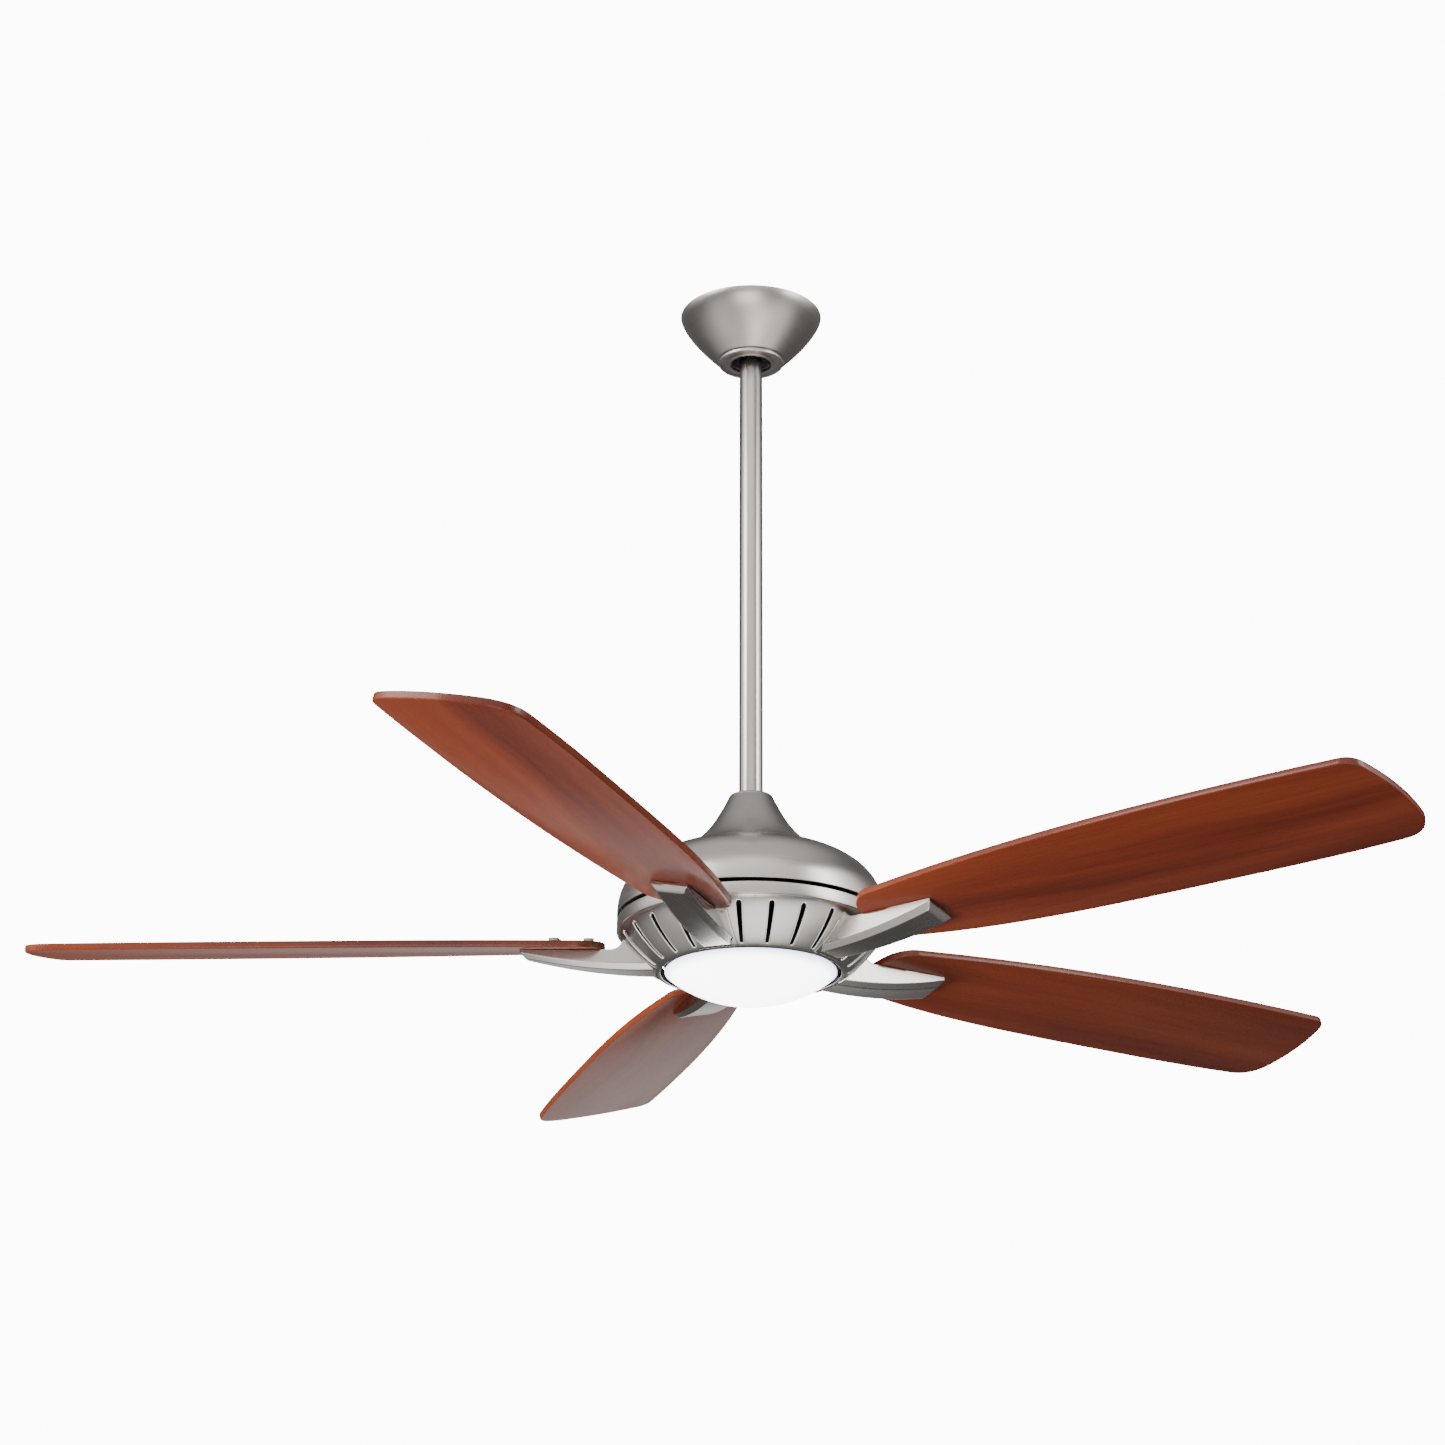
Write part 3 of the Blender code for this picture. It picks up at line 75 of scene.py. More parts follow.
GAP = 0.0003                             # between pieces that only just don't touch
MERGE = 2e-6                             # points closer than this become one
FACETS = 40                              # flat sides that a packed turned piece has round it
ROUND = math.cos(math.pi / FACETS)       # from a facet's corner to its middle

CANOPY_RADIUS = radius("canopy") * ROUND
CANOPY_HEIGHT = -bottom("canopy")
CANOPY_WALL = 0.0012
CANOPY_CURVE = 1.35
CANOPY_RIM_TRIM, CANOPY_FLOOR_TRIM = 0.0004, 0.0005
TRIM_RADIUS = 0.0314
CANOPY_FLOOR_RADIUS = TRIM_RADIUS + 0.0016
TRIM_HOLE = 0.0197
TRIM_WALL = 0.0012
TRIM_EDGE = 0.0008
TRIM_BEAD = 0.0022
TRIM_DISH = 0.0006
TRIM_TOP, TRIM_LOW = top("canopy_ring"), bottom("canopy_ring")

BALL_CENTRE = joint_at["rod_sway"][2]
BALL_RADIUS = 0.024
ROD_RADIUS = 0.0111
ROD_WALL = 0.0026

COVER_TOP = top("yoke_cover") - HEAD
COVER_TOP_RADIUS = 0.0208
COVER_SHOULDER = 0.0022
COVER_SLOPE, COVER_FLARE, COVER_CURL = 0.0278, 0.0165, 3.6
COVER_WALL = 0.0012
COVER_FOOT_TRIM = 0.0016

DOME_RADIUS = radius("motor_dome") * ROUND
DOME_LIP = bottom("motor_dome") - HEAD
DOME_RISE = 0.0665
DOME_SHOULDER, DOME_CROWN = 2.68, 2.38
DOME_WALL = 0.0015
DOME_HOLE = 0.0168
DOME_LIP_TRIM, DOME_HOLE_TRIM = 0.0001, 0.001

BOWL_RIM = top("vented_bowl") - HEAD
BOWL_MOUTH = bottom("vented_bowl") - HEAD
BOWL_STEP = 0.0107
BOWL_STEP_INSET = 0.0020
BOWL_MOUTH_RADIUS = 0.0829
BOWL_CURVE = 1.25
BOWL_WALL = 0.0020
BOWL_LEDGE_RADIUS = 0.103
BOWL_LEDGE = (0.0130, 0.0157)
WALL_RADIUS = DOME_RADIUS - BOWL_STEP_INSET
SLOT_TOP_WIDTH, SLOT_LOW_WIDTH = 0.0046, 0.0029
SLOT_SPAN = (0.085, 0.90)
SLOT_EDGE = 0.0008
VENT_SIDE_STEPS, VENT_END_STEPS = 22, 8
BOWL_RIM_EDGE = 0.0009
BOWL_LIP_BULGE = 0.0006
BOWL_STEP_EDGE = 0.0007

BLADES = 5
BAYS = 25
BAY_ANGLE = 2 * math.pi / BAYS
VENTED_BAYS = [bay for bay in range(BAYS) if bay % (BAYS // BLADES)]     # an arm stands in the others
FIRST_AZIMUTH = math.radians(-37.7)
PITCH = math.radians(12.5)
BLADE_THICKNESS = 0.0064
BLADE_EDGE = 0.0011
SWEEP_RADIUS = 0.6604
ROOT_RADIUS = DOME_RADIUS + 0.0106
ROOT_SIDE = ROOT_RADIUS + 0.0245
ROOT_NOSE_RADIUS = 0.075
ROOT_CORNER = 0.016
LEADING = {"root": 0.0440, "most": 0.0737, "peak": SWEEP_RADIUS - 0.1204, "power": 2.2}
TRAILING = {"root": 0.0385, "most": 0.0586, "peak": SWEEP_RADIUS - 0.2104, "power": 3.2}
TIP_ARC_RADIUS = 0.200
TIP_LEADING_CORNER, TIP_TRAILING_CORNER = 0.012, 0.024
TIP_CORNER_INSET = 0.011

ARM_TIP = ROOT_RADIUS + 0.0760
ARM_HALF_WIDTH = 0.0170
ARM_CHAMFER = 0.0044
ARM_CHAMFER_INSET, ARM_CHAMFER_RISE = 0.0004, 0.0002
ARM_BLUNTED = 0.98                       # share of the chamfer that the tip takes up
ARM_TIP_THICKNESS = 0.0070
ARM_HUB_LEVEL = -0.0257
ARM_HUB_RADIUS = BOWL_MOUTH_RADIUS + 0.0055
ARM_FILLET = 0.0115
ARM_FILLET_SHARE = 0.985                 # stops the fillet just short of upright
ARM_FILLET_START = DOME_RADIUS + 0.0046
ARM_END_LENGTH, ARM_END_INSET = 0.0006, 0.0004
SEAT_OFFSET = BLADE_THICKNESS / 2 + GAP
FLANGE_BORDER = 0.0016
FLANGE_HEIGHT = 0.0013
FLANGE_EDGE = 0.0004
FLANGE_SPAN = (0.22, 0.94)
FLANGE_SPAN_EDGE = 0.008

LENS_TOP = joint_at["lens_twist"][2] - HEAD
LENS_RADIUS = radius("lens") * ROUND
LENS_FLANGE = 0.0015
LENS_SAG = 0.0276
LENS_WALL = 0.0022
LENS_SKIRT = 0.0088
SKIRT_RADIUS = 0.0723


# ---- meshes -------------------------------------------------------------------------------------
def make_piece(name, points, faces, material, body, replaces=(), slot=None, smooth=35, uv=None):
    """A piece in place: merged, turned outwards, smooth but for edges sharper than `smooth` degrees."""
    mesh = bpy.data.meshes.new(name)
    mesh.from_pydata(np.asarray(points, float).tolist(), [], faces)
    if uv is not None:
        layer = mesh.uv_layers.new(name="grain")
        corners = np.empty(len(mesh.loops), dtype=np.int32)
        mesh.loops.foreach_get("vertex_index", corners)
        layer.data.foreach_set("uv", np.asarray(uv, float)[corners].ravel())
    bm = bmesh.new()
    bm.from_mesh(mesh)
    bmesh.ops.remove_doubles(bm, verts=bm.verts, dist=MERGE)
    bmesh.ops.recalc_face_normals(bm, faces=bm.faces)
    bm.to_mesh(mesh)
    bm.free()
    mesh.shade_smooth()
    mesh.set_sharp_from_angle(angle=math.radians(smooth))
    mesh.materials.append(material)
    piece = bpy.data.objects.new(name, mesh)
    bpy.context.scene.collection.objects.link(piece)
    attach(piece, body)
    if replaces:
        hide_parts(*replaces)
    return piece


def grid_faces(rows, columns, close_rows=False, close_columns=False, start=0):
    """Quads between neighbouring points of a rows x columns grid, numbered row by row."""
    row = np.arange(rows if close_rows else rows - 1)
    column = np.arange(columns if close_columns else columns - 1)
    i, j = (index.ravel() for index in np.meshgrid(row, column, indexing="ij"))
    i_next, j_next = (i + 1) % rows, (j + 1) % columns
    quads = np.stack([i * columns + j, i * columns + j_next,
                      i_next * columns + j_next, i_next * columns + j], 1)
    return (quads + start).tolist()


def capped_tube(rows, columns):
    """Faces of closed loops joined one to the next, with a face over the first and the last."""
    first, last = list(range(columns)), list(range((rows - 1) * columns, rows * columns))
    return grid_faces(rows, columns, close_columns=True) + [first, last[::-1]]


def rounded(outline, size, steps=4, sharp=20.0):
    """The closed outline with each corner that turns by more than `sharp` degrees replaced by a
    parabola (1 - t)^2 start + 2 t (1 - t) corner + t^2 end, which starts and ends `size` away."""
    most = 0.45                          # of a side, so that the curves at its two ends don't meet
    outline = np.asarray(outline, float)
    before, after = np.roll(outline, 1, axis=0) - outline, np.roll(outline, -1, axis=0) - outline
    near, far = np.linalg.norm(before, axis=1), np.linalg.norm(after, axis=1)
    cosine = -np.sum(before * after, axis=1) / np.maximum(near * far, 1e-12)
    turned_by = np.degrees(np.arccos(np.clip(cosine, -1, 1)))
    t = np.linspace(0, 1, steps + 1)[:, None]
    points = []
    for index, corner in enumerate(outline):
        if turned_by[index] < sharp:
            points.append(corner[None])
            continue
        start = corner + before[index] / near[index] * min(size, most * near[index])
        end = corner + after[index] / far[index] * min(size, most * far[index])
        points.append((1 - t) ** 2 * start + 2 * t * (1 - t) * corner + t ** 2 * end)
    return np.concatenate(points)


def sheet(line, wall):
    """Closed outline of a sheet of even thickness: the line, and the line moved square to itself."""
    line = np.asarray(line, float)
    along = np.gradient(line, axis=0)
    along /= np.linalg.norm(along, axis=1)[:, None]
    return np.concatenate([line, (line + np.stack([along[:, 1], -along[:, 0]], 1) * wall)[::-1]])


def turned(name, outline, material, body, level=0.0, steps=192, **more):
    """Carries a closed (radius, height) outline round the fan's axis."""
    outline = np.asarray(outline, float)
    angle = 2 * np.pi * np.arange(steps) / steps
    points = np.empty((steps, len(outline), 3))
    points[..., 0] = np.cos(angle)[:, None] * outline[:, 0]
    points[..., 1] = np.sin(angle)[:, None] * outline[:, 0]
    points[..., 2] = outline[:, 1] + level
    faces = grid_faces(steps, len(outline), close_rows=True, close_columns=True)
    return make_piece(name, points.reshape(-1, 3), faces, material, body, **more)


def turn_about_axis(points, azimuth):
    """The points turned by the azimuth about the fan's own axis."""
    cos, sin = math.cos(azimuth), math.sin(azimuth)
    turn = np.array([[cos, -sin, 0], [sin, cos, 0], [0, 0, 1]])
    return np.asarray(points) @ turn.T


# ---- shader maths -------------------------------------------------------------------------------
class Signal:
    """A shader socket that works in arithmetic: each operator adds one Math node."""

    def __init__(self, tree, socket=None):
        self.tree, self.socket = tree, socket

    def node(self, kind, settings=None, sockets=None, output=0):
        """Adds a node of that kind: its settings first, then its sockets' values or links."""
        made = self.tree.nodes.new(kind)
        for key, value in (settings or {}).items():
            if key == "stops":
                ramp = made.color_ramp
                while len(ramp.elements) < len(value):
                    ramp.elements.new(0.5)
                for element, (position, colour) in zip(ramp.elements, value):
                    element.position = position
                    element.color = (*colour, 1)
            else:
                setattr(made, key, value)
        for key, value in (sockets or {}).items():
            if isinstance(value, Signal):
                self.tree.links.new(value.socket, made.inputs[key])
            else:
                made.inputs[key].default_value = value
        return Signal(self.tree, made.outputs[output])

    def math(self, operation, first, second=0.0):
        return self.node("ShaderNodeMath", {"operation": operation}, {0: first, 1: second})

    def __add__(self, other):
        return self.math("ADD", self, other)

    def __sub__(self, other):
        return self.math("SUBTRACT", self, other)

    def __rsub__(self, other):
        return self.math("SUBTRACT", other, self)

    def __mul__(self, other):
        return self.math("MULTIPLY", self, other)

    def __truediv__(self, other):
        return self.math("DIVIDE", self, other)

    def __pow__(self, other):
        return self.math("POWER", self, other)

    __radd__ = __add__
    __rmul__ = __mul__

    def vector(self, x, y, z):
        return self.node("ShaderNodeCombineXYZ", None, {0: x, 1: y, 2: z})

    def noise(self, vector, scale, detail=3.0, roughness=0.5, distortion=0.0):
        return self.node("ShaderNodeTexNoise", None, {
            "Vector": vector, "Scale": scale, "Detail": detail, "Roughness": roughness,
            "Distortion": distortion})

    def between(self, factor, low, high):
        """Mixes two colours by a factor."""
        return self.node("ShaderNodeMix", {"data_type": "RGBA"}, {0: factor, 6: low, 7: high}, 2)


def new_material(name, **values):
    """A material and a Signal on its tree; values are the shader's own constants."""
    material = bpy.data.materials.new(name)
    material.use_nodes = True
    shader = material.node_tree.nodes["Principled BSDF"]
    for key, value in values.items():
        shader.inputs[key.replace("_", " ")].default_value = value
    return material, Signal(material.node_tree), shader


def drive(shader, signal, socket):
    signal.tree.links.new(signal.socket, shader.inputs[socket])


def bumped(signal, height, distance, strength=1.0):
    return signal.node("ShaderNodeBump", None, {
        "Height": height, "Distance": distance, "Strength": strength})


def split_vector(signal, vector):
    """The vector's x, y and z, each a signal of its own."""
    split = signal.node("ShaderNodeSeparateXYZ", None, {0: vector}).socket.node
    return [Signal(signal.tree, split.outputs[axis]) for axis in range(3)]


def object_point(signal):
    """The x, y and z of the point, in metres."""
    return split_vector(signal, signal.node("ShaderNodeTexCoord", output="Object"))


def grain_point(signal):
    """Distance along and across the piece's own grain, in metres."""
    return split_vector(signal, signal.node("ShaderNodeUVMap", {"uv_map": "grain"}))[:2]


def shade_of(colour, share):
    """The colour made darker or lighter by a share, with its alpha."""
    return (*[min(c * share, 1) for c in colour], 1)


# ---- finishes -----------------------------------------------------------------------------------
NICKEL = (0.60, 0.562, 0.525)


def brushed_round(name, centre_height=0.0, colour=NICKEL, rough=0.30, anisotropy=0.55):
    """Nickel brushed round the axis: fine rings that vary slowly along their length."""
    material, at, shader = new_material(name, Metallic=1.0, Anisotropic=anisotropy)
    x, y, z = object_point(at)
    reach = (x * x + y * y) ** 0.5
    across = reach + (z - centre_height) * 0.8
    rings = at.noise(at.vector(x / reach * 1.5, y / reach * 1.5, across * 2600), 1.0, 2.0)
    broad = at.noise(at.vector(x * 9, y * 9, z * 60), 1.0, 2.0)
    tone = rings * 0.16 + broad * 0.10 + 0.80
    drive(shader, at.between(tone - 0.5, shade_of(colour, 0.80), shade_of(colour, 1.15)), "Base Color")
    drive(shader, rings * 0.14 + (rough - 0.07), "Roughness")
    drive(shader, bumped(at, rings, 0.00002, 0.35), "Normal")
    return material


def brushed_long(name, colour=NICKEL, rough=0.28):
    """Nickel brushed up and down, for the rod."""
    material, at, shader = new_material(name, Metallic=1.0, Anisotropic=0.4, Anisotropic_Rotation=0.25)
    x, y, z = object_point(at)
    lines = at.noise(at.vector(x * 2200, y * 2200, z * 4), 1.0, 2.0)
    drive(shader, at.between(lines, shade_of(colour, 0.88), shade_of(colour, 1.1)), "Base Color")
    drive(shader, lines * 0.12 + (rough - 0.06), "Roughness")
    return material


def brushed_arm(name, colour=NICKEL, rough=0.27):
    """Nickel brushed along the arm: lines follow the piece's own grain map."""
    material, at, shader = new_material(name, Metallic=1.0)
    along, across = grain_point(at)
    lines = at.noise(at.vector(along * 8, across * 900, 0.0), 1.0, 2.0)
    drive(shader, at.between(lines, shade_of(colour, 0.98), shade_of(colour, 1.02)), "Base Color")
    drive(shader, lines * 0.02 + (rough - 0.01), "Roughness")
    return material


def lacquered_wood(name):
    """Dark cherry veneer: broad bands and fine pores that run along the blade, under clear lacquer."""
    material, at, shader = new_material(name, Coat_Weight=0.34, Coat_Roughness=0.14, Roughness=0.45,
                                        IOR=1.40)
    along, across = grain_point(at)
    sway = at.noise(at.vector(along * 3, across * 7, 0.0), 1.0, 2.0)
    bands = at.noise(at.vector(along * 1.1, across * 17 + sway * 0.8, 0.0), 1.0, 4.0, 0.55)
    fine = at.noise(at.vector(along * 9, across * 420, 0.0), 1.0, 3.0, 0.6)
    pores = at.noise(at.vector(along * 60, across * 1500, 3.0), 1.0, 2.0)
    tone = bands * 0.78 + fine * 0.16 + pores * 0.10
    colour = at.node("ShaderNodeValToRGB", {"stops": (
        (0.34, (0.110, 0.014, 0.004)), (0.47, (0.185, 0.028, 0.008)),
        (0.58, (0.250, 0.044, 0.013)), (0.74, (0.320, 0.066, 0.020)))}, {0: tone})
    drive(shader, colour, "Base Color")
    drive(shader, 0.50 - pores * 0.12, "Roughness")
    drive(shader, bumped(at, pores + fine, 0.00003, 0.2), "Normal")
    return material


def opal(name):
    """White diffuser, lit softly from inside."""
    material, at, shader = new_material(name, Roughness=0.35, Coat_Weight=0.3, Emission_Strength=8.0)
    x, y, z = object_point(at)
    reach = (x * x + y * y) ** 0.5 / LENS_RADIUS
    glow = at.node("ShaderNodeValToRGB", {"stops": (
        (0.0, (1.0, 1.0, 1.0)), (0.90, (0.94, 0.95, 1.0)), (1.0, (0.30, 0.30, 0.42)))}, {0: reach})
    drive(shader, at.between(0.25 * reach, (0.94, 0.95, 0.98, 1), (0.88, 0.89, 0.96, 1)), "Base Color")
    drive(shader, glow, "Emission Color")
    return material


def plain(name, colour, rough, metallic=0.0, speckle=0.12, size=900.0, **more):
    """A cast, moulded or plated finish with a fine mottle."""
    material, at, shader = new_material(name, Metallic=metallic, **more)
    x, y, z = object_point(at)
    mottle = at.noise(at.vector(x, y, z), size, 2.0)
    darker, lighter = shade_of(colour, 1 - speckle), shade_of(colour, 1 + speckle)
    drive(shader, at.between(mottle, darker, lighter), "Base Color")
    drive(shader, mottle * 0.12 + (rough - 0.06), "Roughness")
    return material


def layered_iron(name):
    """Stacked electrical steel: thin level lines, one for each sheet."""
    material, at, shader = new_material(name, Metallic=1.0, Roughness=0.5)
    height = object_point(at)[2]
    lines = at.node("ShaderNodeTexWave", {"bands_direction": "Z"}, {
        "Vector": at.vector(0.0, 0.0, height), "Scale": 320.0}, "Fac")
    drive(shader, at.between(lines, (0.10, 0.10, 0.11, 1), (0.26, 0.26, 0.27, 1)), "Base Color")
    return material


def wound_copper(name):
    """Enamelled wire: fine turns round the axis."""
    material, at, shader = new_material(name, Metallic=1.0, Roughness=0.32)
    x, y, z = object_point(at)
    reach = (x * x + y * y) ** 0.5
    turns = at.node("ShaderNodeTexWave", {"bands_direction": "X"}, {
        "Vector": at.vector(reach + z, 0.0, 0.0), "Scale": 260.0}, "Fac")
    drive(shader, at.between(turns, (0.28, 0.09, 0.03, 1), (0.66, 0.29, 0.13, 1)), "Base Color")
    drive(shader, bumped(at, turns, 0.0002, 0.6), "Normal")
    return material


nickel_canopy = brushed_round("nickel_canopy", rough=0.33)
# the bell is the same nickel as the dome; its darker colour is painted shade
nickel_bell = brushed_round("nickel_bell", HEAD, (0.44, 0.41, 0.38), rough=0.34)
# a lighter copy of the bowl's nickel for the vents' rims: a painted highlight
nickel_edge = plain("nickel_edge", (0.93, 0.91, 0.88), 0.22, 1.0, 0.03)
nickel_shell = brushed_round("nickel_shell", HEAD, rough=0.30)
nickel_rod = brushed_long("nickel_rod")
nickel_arm = brushed_arm("nickel_arm")
wood = lacquered_wood("cherry_blade")
lens_white = opal("opal_lens")
black_rubber = plain("black_ball", (0.018, 0.018, 0.018), 0.35)
dark_paint = plain("dark_paint", (0.020, 0.020, 0.021), 0.55, 0.2)
zinc = plain("zinc_steel", (0.52, 0.52, 0.53), 0.38, 1.0, 0.06)
black_case = plain("black_case", (0.022, 0.022, 0.023), 0.6)
white_board = plain("white_board", (0.86, 0.87, 0.86), 0.45, 0.0, 0.03)
ferrite = plain("ferrite", (0.07, 0.07, 0.075), 0.6)
iron = layered_iron("laminated_iron")
copper = wound_copper("copper_winding")

SLOT_FINISH = {"steel": zinc, "painted_shell": dark_paint, "black_plastic": black_case, "copper": copper,
               "iron": iron, "magnet": ferrite, "circuit_board": white_board, "nickel": nickel_shell,
               "cherry_wood": wood, "opal": lens_white}
for subpart in frame["record"]["subparts"]:
    node = nodes[subpart["node"]]
    node.data.materials.clear()
    node.data.materials.append(SLOT_FINISH[subpart["material_slot"]])


# ---- ceiling side -------------------------------------------------------------------------------
def build_canopy():
    """The cup's side: radius falls from the rim's to the floor's with depth ** curve."""
    depth = np.linspace(0, 1, 60)
    side = CANOPY_FLOOR_RADIUS + (CANOPY_RADIUS - CANOPY_FLOOR_RADIUS) * (1 - depth ** CANOPY_CURVE)
    line = np.stack([side, -CANOPY_HEIGHT * depth], 1)
    floor = -CANOPY_HEIGHT + CANOPY_WALL
    inner = sheet(line, CANOPY_WALL)[len(line):]
    inner = inner[(inner[:, 1] > floor + CANOPY_FLOOR_TRIM) & (inner[:, 1] < -CANOPY_RIM_TRIM)]
    hole = TRIM_HOLE + GAP
    outline = np.concatenate([line, [(hole, -CANOPY_HEIGHT), (hole, floor), (inner[0, 0], floor)], inner,
                              [(CANOPY_RADIUS - CANOPY_WALL, 0.0)]])
    turned("canopy_shell", rounded(outline, 0.0009), nickel_canopy, "ceiling_mount",
           replaces=["canopy"], slot="nickel")


def build_trim_ring():
    """A shallow ring with a raised outer bead and a rolled inner edge."""
    lip, bead = TRIM_HOLE + TRIM_WALL, TRIM_RADIUS - TRIM_BEAD
    dish, floor, collar = TRIM_LOW + TRIM_DISH, TRIM_LOW + TRIM_DISH + 0.0010, TRIM_TOP - TRIM_WALL
    outline = [(TRIM_RADIUS, TRIM_TOP), (TRIM_RADIUS, TRIM_LOW + TRIM_EDGE),
               (TRIM_RADIUS - TRIM_EDGE, TRIM_LOW), (bead, TRIM_LOW), (bead - 0.0004, dish),
               (lip + 0.0016, dish), (lip + 0.0010, TRIM_LOW), (TRIM_HOLE, TRIM_LOW),
               (TRIM_HOLE, collar), (lip, collar), (lip, floor),
               (TRIM_RADIUS - TRIM_WALL, floor), (TRIM_RADIUS - TRIM_WALL, TRIM_TOP)]
    turned("trim_ring", rounded(outline, 0.0004, 3), nickel_canopy, "ceiling_mount",
           replaces=["canopy_ring"], slot="nickel")


def build_ball():
    """A ball cut flat above and below, bored for the rod."""
    low, high = bottom("hanger_ball") - BALL_CENTRE, top("hanger_ball") - BALL_CENTRE
    angle = np.linspace(math.asin(high / BALL_RADIUS), math.asin(low / BALL_RADIUS), 24)
    skin = np.stack([BALL_RADIUS * np.cos(angle), BALL_RADIUS * np.sin(angle)], 1)
    bore = ROD_RADIUS + GAP
    turned("ball", rounded(np.concatenate([skin, [(bore, low), (bore, high)]]), 0.0005), black_rubber,
           "fan_body", BALL_CENTRE, 96, replaces=["hanger_ball"], slot="black_plastic")


def build_rod():
    """A tube with softened ends."""
    low, high = bottom("downrod"), top("downrod")
    inner = ROD_RADIUS - ROD_WALL
    outline = [(ROD_RADIUS, high), (ROD_RADIUS, low), (inner, low), (inner, high)]
    turned("rod_tube", rounded(outline, 0.0004, 2), nickel_rod, "fan_body", steps=96,
           replaces=["downrod"], slot="nickel")


# ---- still shells of the fan head ---------------------------------------------------------------
def dome_height(r):
    """Height of the dome's face: lip + rise * (1 - (r / R) ** shoulder) ** (1 / crown)."""
    return DOME_LIP + DOME_RISE * (1 - np.minimum(r / DOME_RADIUS, 1.0) ** DOME_SHOULDER) ** (1 / DOME_CROWN)


def build_yoke_cover():
    """A bell: its radius grows evenly down the side, plus a curl that grows with depth ** curl."""
    foot = COVER_TOP_RADIUS + COVER_SLOPE + COVER_FLARE
    low, high = dome_height(foot) + GAP, COVER_TOP - COVER_SHOULDER
    s = np.linspace(0, 1, 70)
    line = np.stack([COVER_TOP_RADIUS + COVER_SLOPE * s + COVER_FLARE * s ** COVER_CURL,
                     high - (high - low) * s], 1)
    inner = sheet(line, COVER_WALL)[len(line):]
    rim, hole, roof = COVER_TOP_RADIUS - COVER_SHOULDER, ROD_RADIUS + 2 * GAP, COVER_TOP - COVER_WALL
    inner = inner[(inner[:, 1] > low + COVER_FOOT_TRIM) & (inner[:, 1] < roof - COVER_SHOULDER)]
    heel = foot - 1.6 * COVER_WALL
    bend = np.linspace(0, np.pi / 2, 9)[1:-1]
    shoulder = np.stack([rim + COVER_SHOULDER * np.sin(bend),
                         COVER_TOP - COVER_SHOULDER * (1 - np.cos(bend))], 1)
    outline = np.concatenate([[(rim, COVER_TOP)], shoulder, line, [(heel, dome_height(heel) + GAP)], inner,
                              [(rim - COVER_WALL, roof), (hole, roof), (hole, COVER_TOP)]])
    turned("bell_cover", outline, nickel_bell, "fan_body", HEAD, replaces=["yoke_cover"], slot="nickel")


def build_dome():
    """The dome's face from its hole to its lip, closer spaced at the shoulder."""
    angle = np.linspace(math.asin(DOME_HOLE / DOME_RADIUS), np.pi / 2, 120)
    r = DOME_RADIUS * np.sin(angle)
    line = np.stack([r, dome_height(r)], 1)
    inner = sheet(line, DOME_WALL)[len(line):]
    wall = DOME_RADIUS - DOME_WALL
    inner = inner[(inner[:, 0] < wall - DOME_LIP_TRIM) & (inner[:, 0] > DOME_HOLE + DOME_HOLE_TRIM)]
    outline = np.concatenate([line, [(wall, DOME_LIP)], inner,
                              [(DOME_HOLE, line[0, 1] - DOME_WALL)]])
    turned("dome", rounded(outline, 0.0006, 3, 40), nickel_shell, "fan_body", HEAD, 240,
           replaces=["motor_dome"], slot="nickel")


# ---- vented bowl --------------------------------------------------------------------------------
def wall_point(t, offset=0.0):
    """(radius, height) on the bowl's side, t from 0 at the step to 1 at the mouth.

    The side is ((r - mouth) / width) ** n + ((step - z) / depth) ** n = 1, moved out by offset.
    """
    width, depth = WALL_RADIUS - BOWL_MOUTH_RADIUS, BOWL_STEP - BOWL_MOUTH
    angle = np.clip(t, 0, 1) * np.pi / 2
    c, s = np.maximum(np.cos(angle), 0), np.maximum(np.sin(angle), 0)
    size = (c ** BOWL_CURVE + s ** BOWL_CURVE) ** (1 / BOWL_CURVE)
    across, down = c / size, s / size
    out, fall = depth * across ** (BOWL_CURVE - 1), -width * down ** (BOWL_CURVE - 1)
    length = np.hypot(out, fall)
    return (BOWL_MOUTH_RADIUS + width * across + out / length * offset,
            BOWL_STEP - depth * down + fall / length * offset)


def on_bowl(across, t, offset, bay):
    """Points of one bay: across runs from -1 to 1 over the bay, t down the side."""
    r, z = wall_point(t, offset)
    azimuth = FIRST_AZIMUTH + (bay + across / 2) * BAY_ANGLE
    return np.stack([r * np.cos(azimuth), r * np.sin(azimuth), z + HEAD], -1)


def slot_outline(extra, side_steps, end_steps):
    """Closed outline of a vent in (across, t): sides that narrow towards the mouth, half-round ends."""
    per_t = math.hypot(WALL_RADIUS - BOWL_MOUTH_RADIUS, BOWL_STEP - BOWL_MOUTH)
    start, stop = SLOT_SPAN[0] + SLOT_TOP_WIDTH / 2 / per_t, SLOT_SPAN[1] - SLOT_LOW_WIDTH / 2 / per_t
    high, low = SLOT_TOP_WIDTH / 2 + extra, SLOT_LOW_WIDTH / 2 + extra
    t_side = np.linspace(start, stop, side_steps + 1)
    half = high + (low - high) * (t_side - start) / (stop - start)
    bend = np.linspace(0, np.pi, end_steps + 1)[:-1]
    sides = [(half[:-1], t_side[:-1]), (low * np.cos(bend), stop + low / per_t * np.sin(bend)),
             (-half[:0:-1], t_side[:0:-1]), (-high * np.cos(bend), start - high / per_t * np.sin(bend))]
    x = np.concatenate([side[0] for side in sides])
    t = np.concatenate([side[1] for side in sides])
    return x / (wall_point(t)[0] * BAY_ANGLE / 2), t


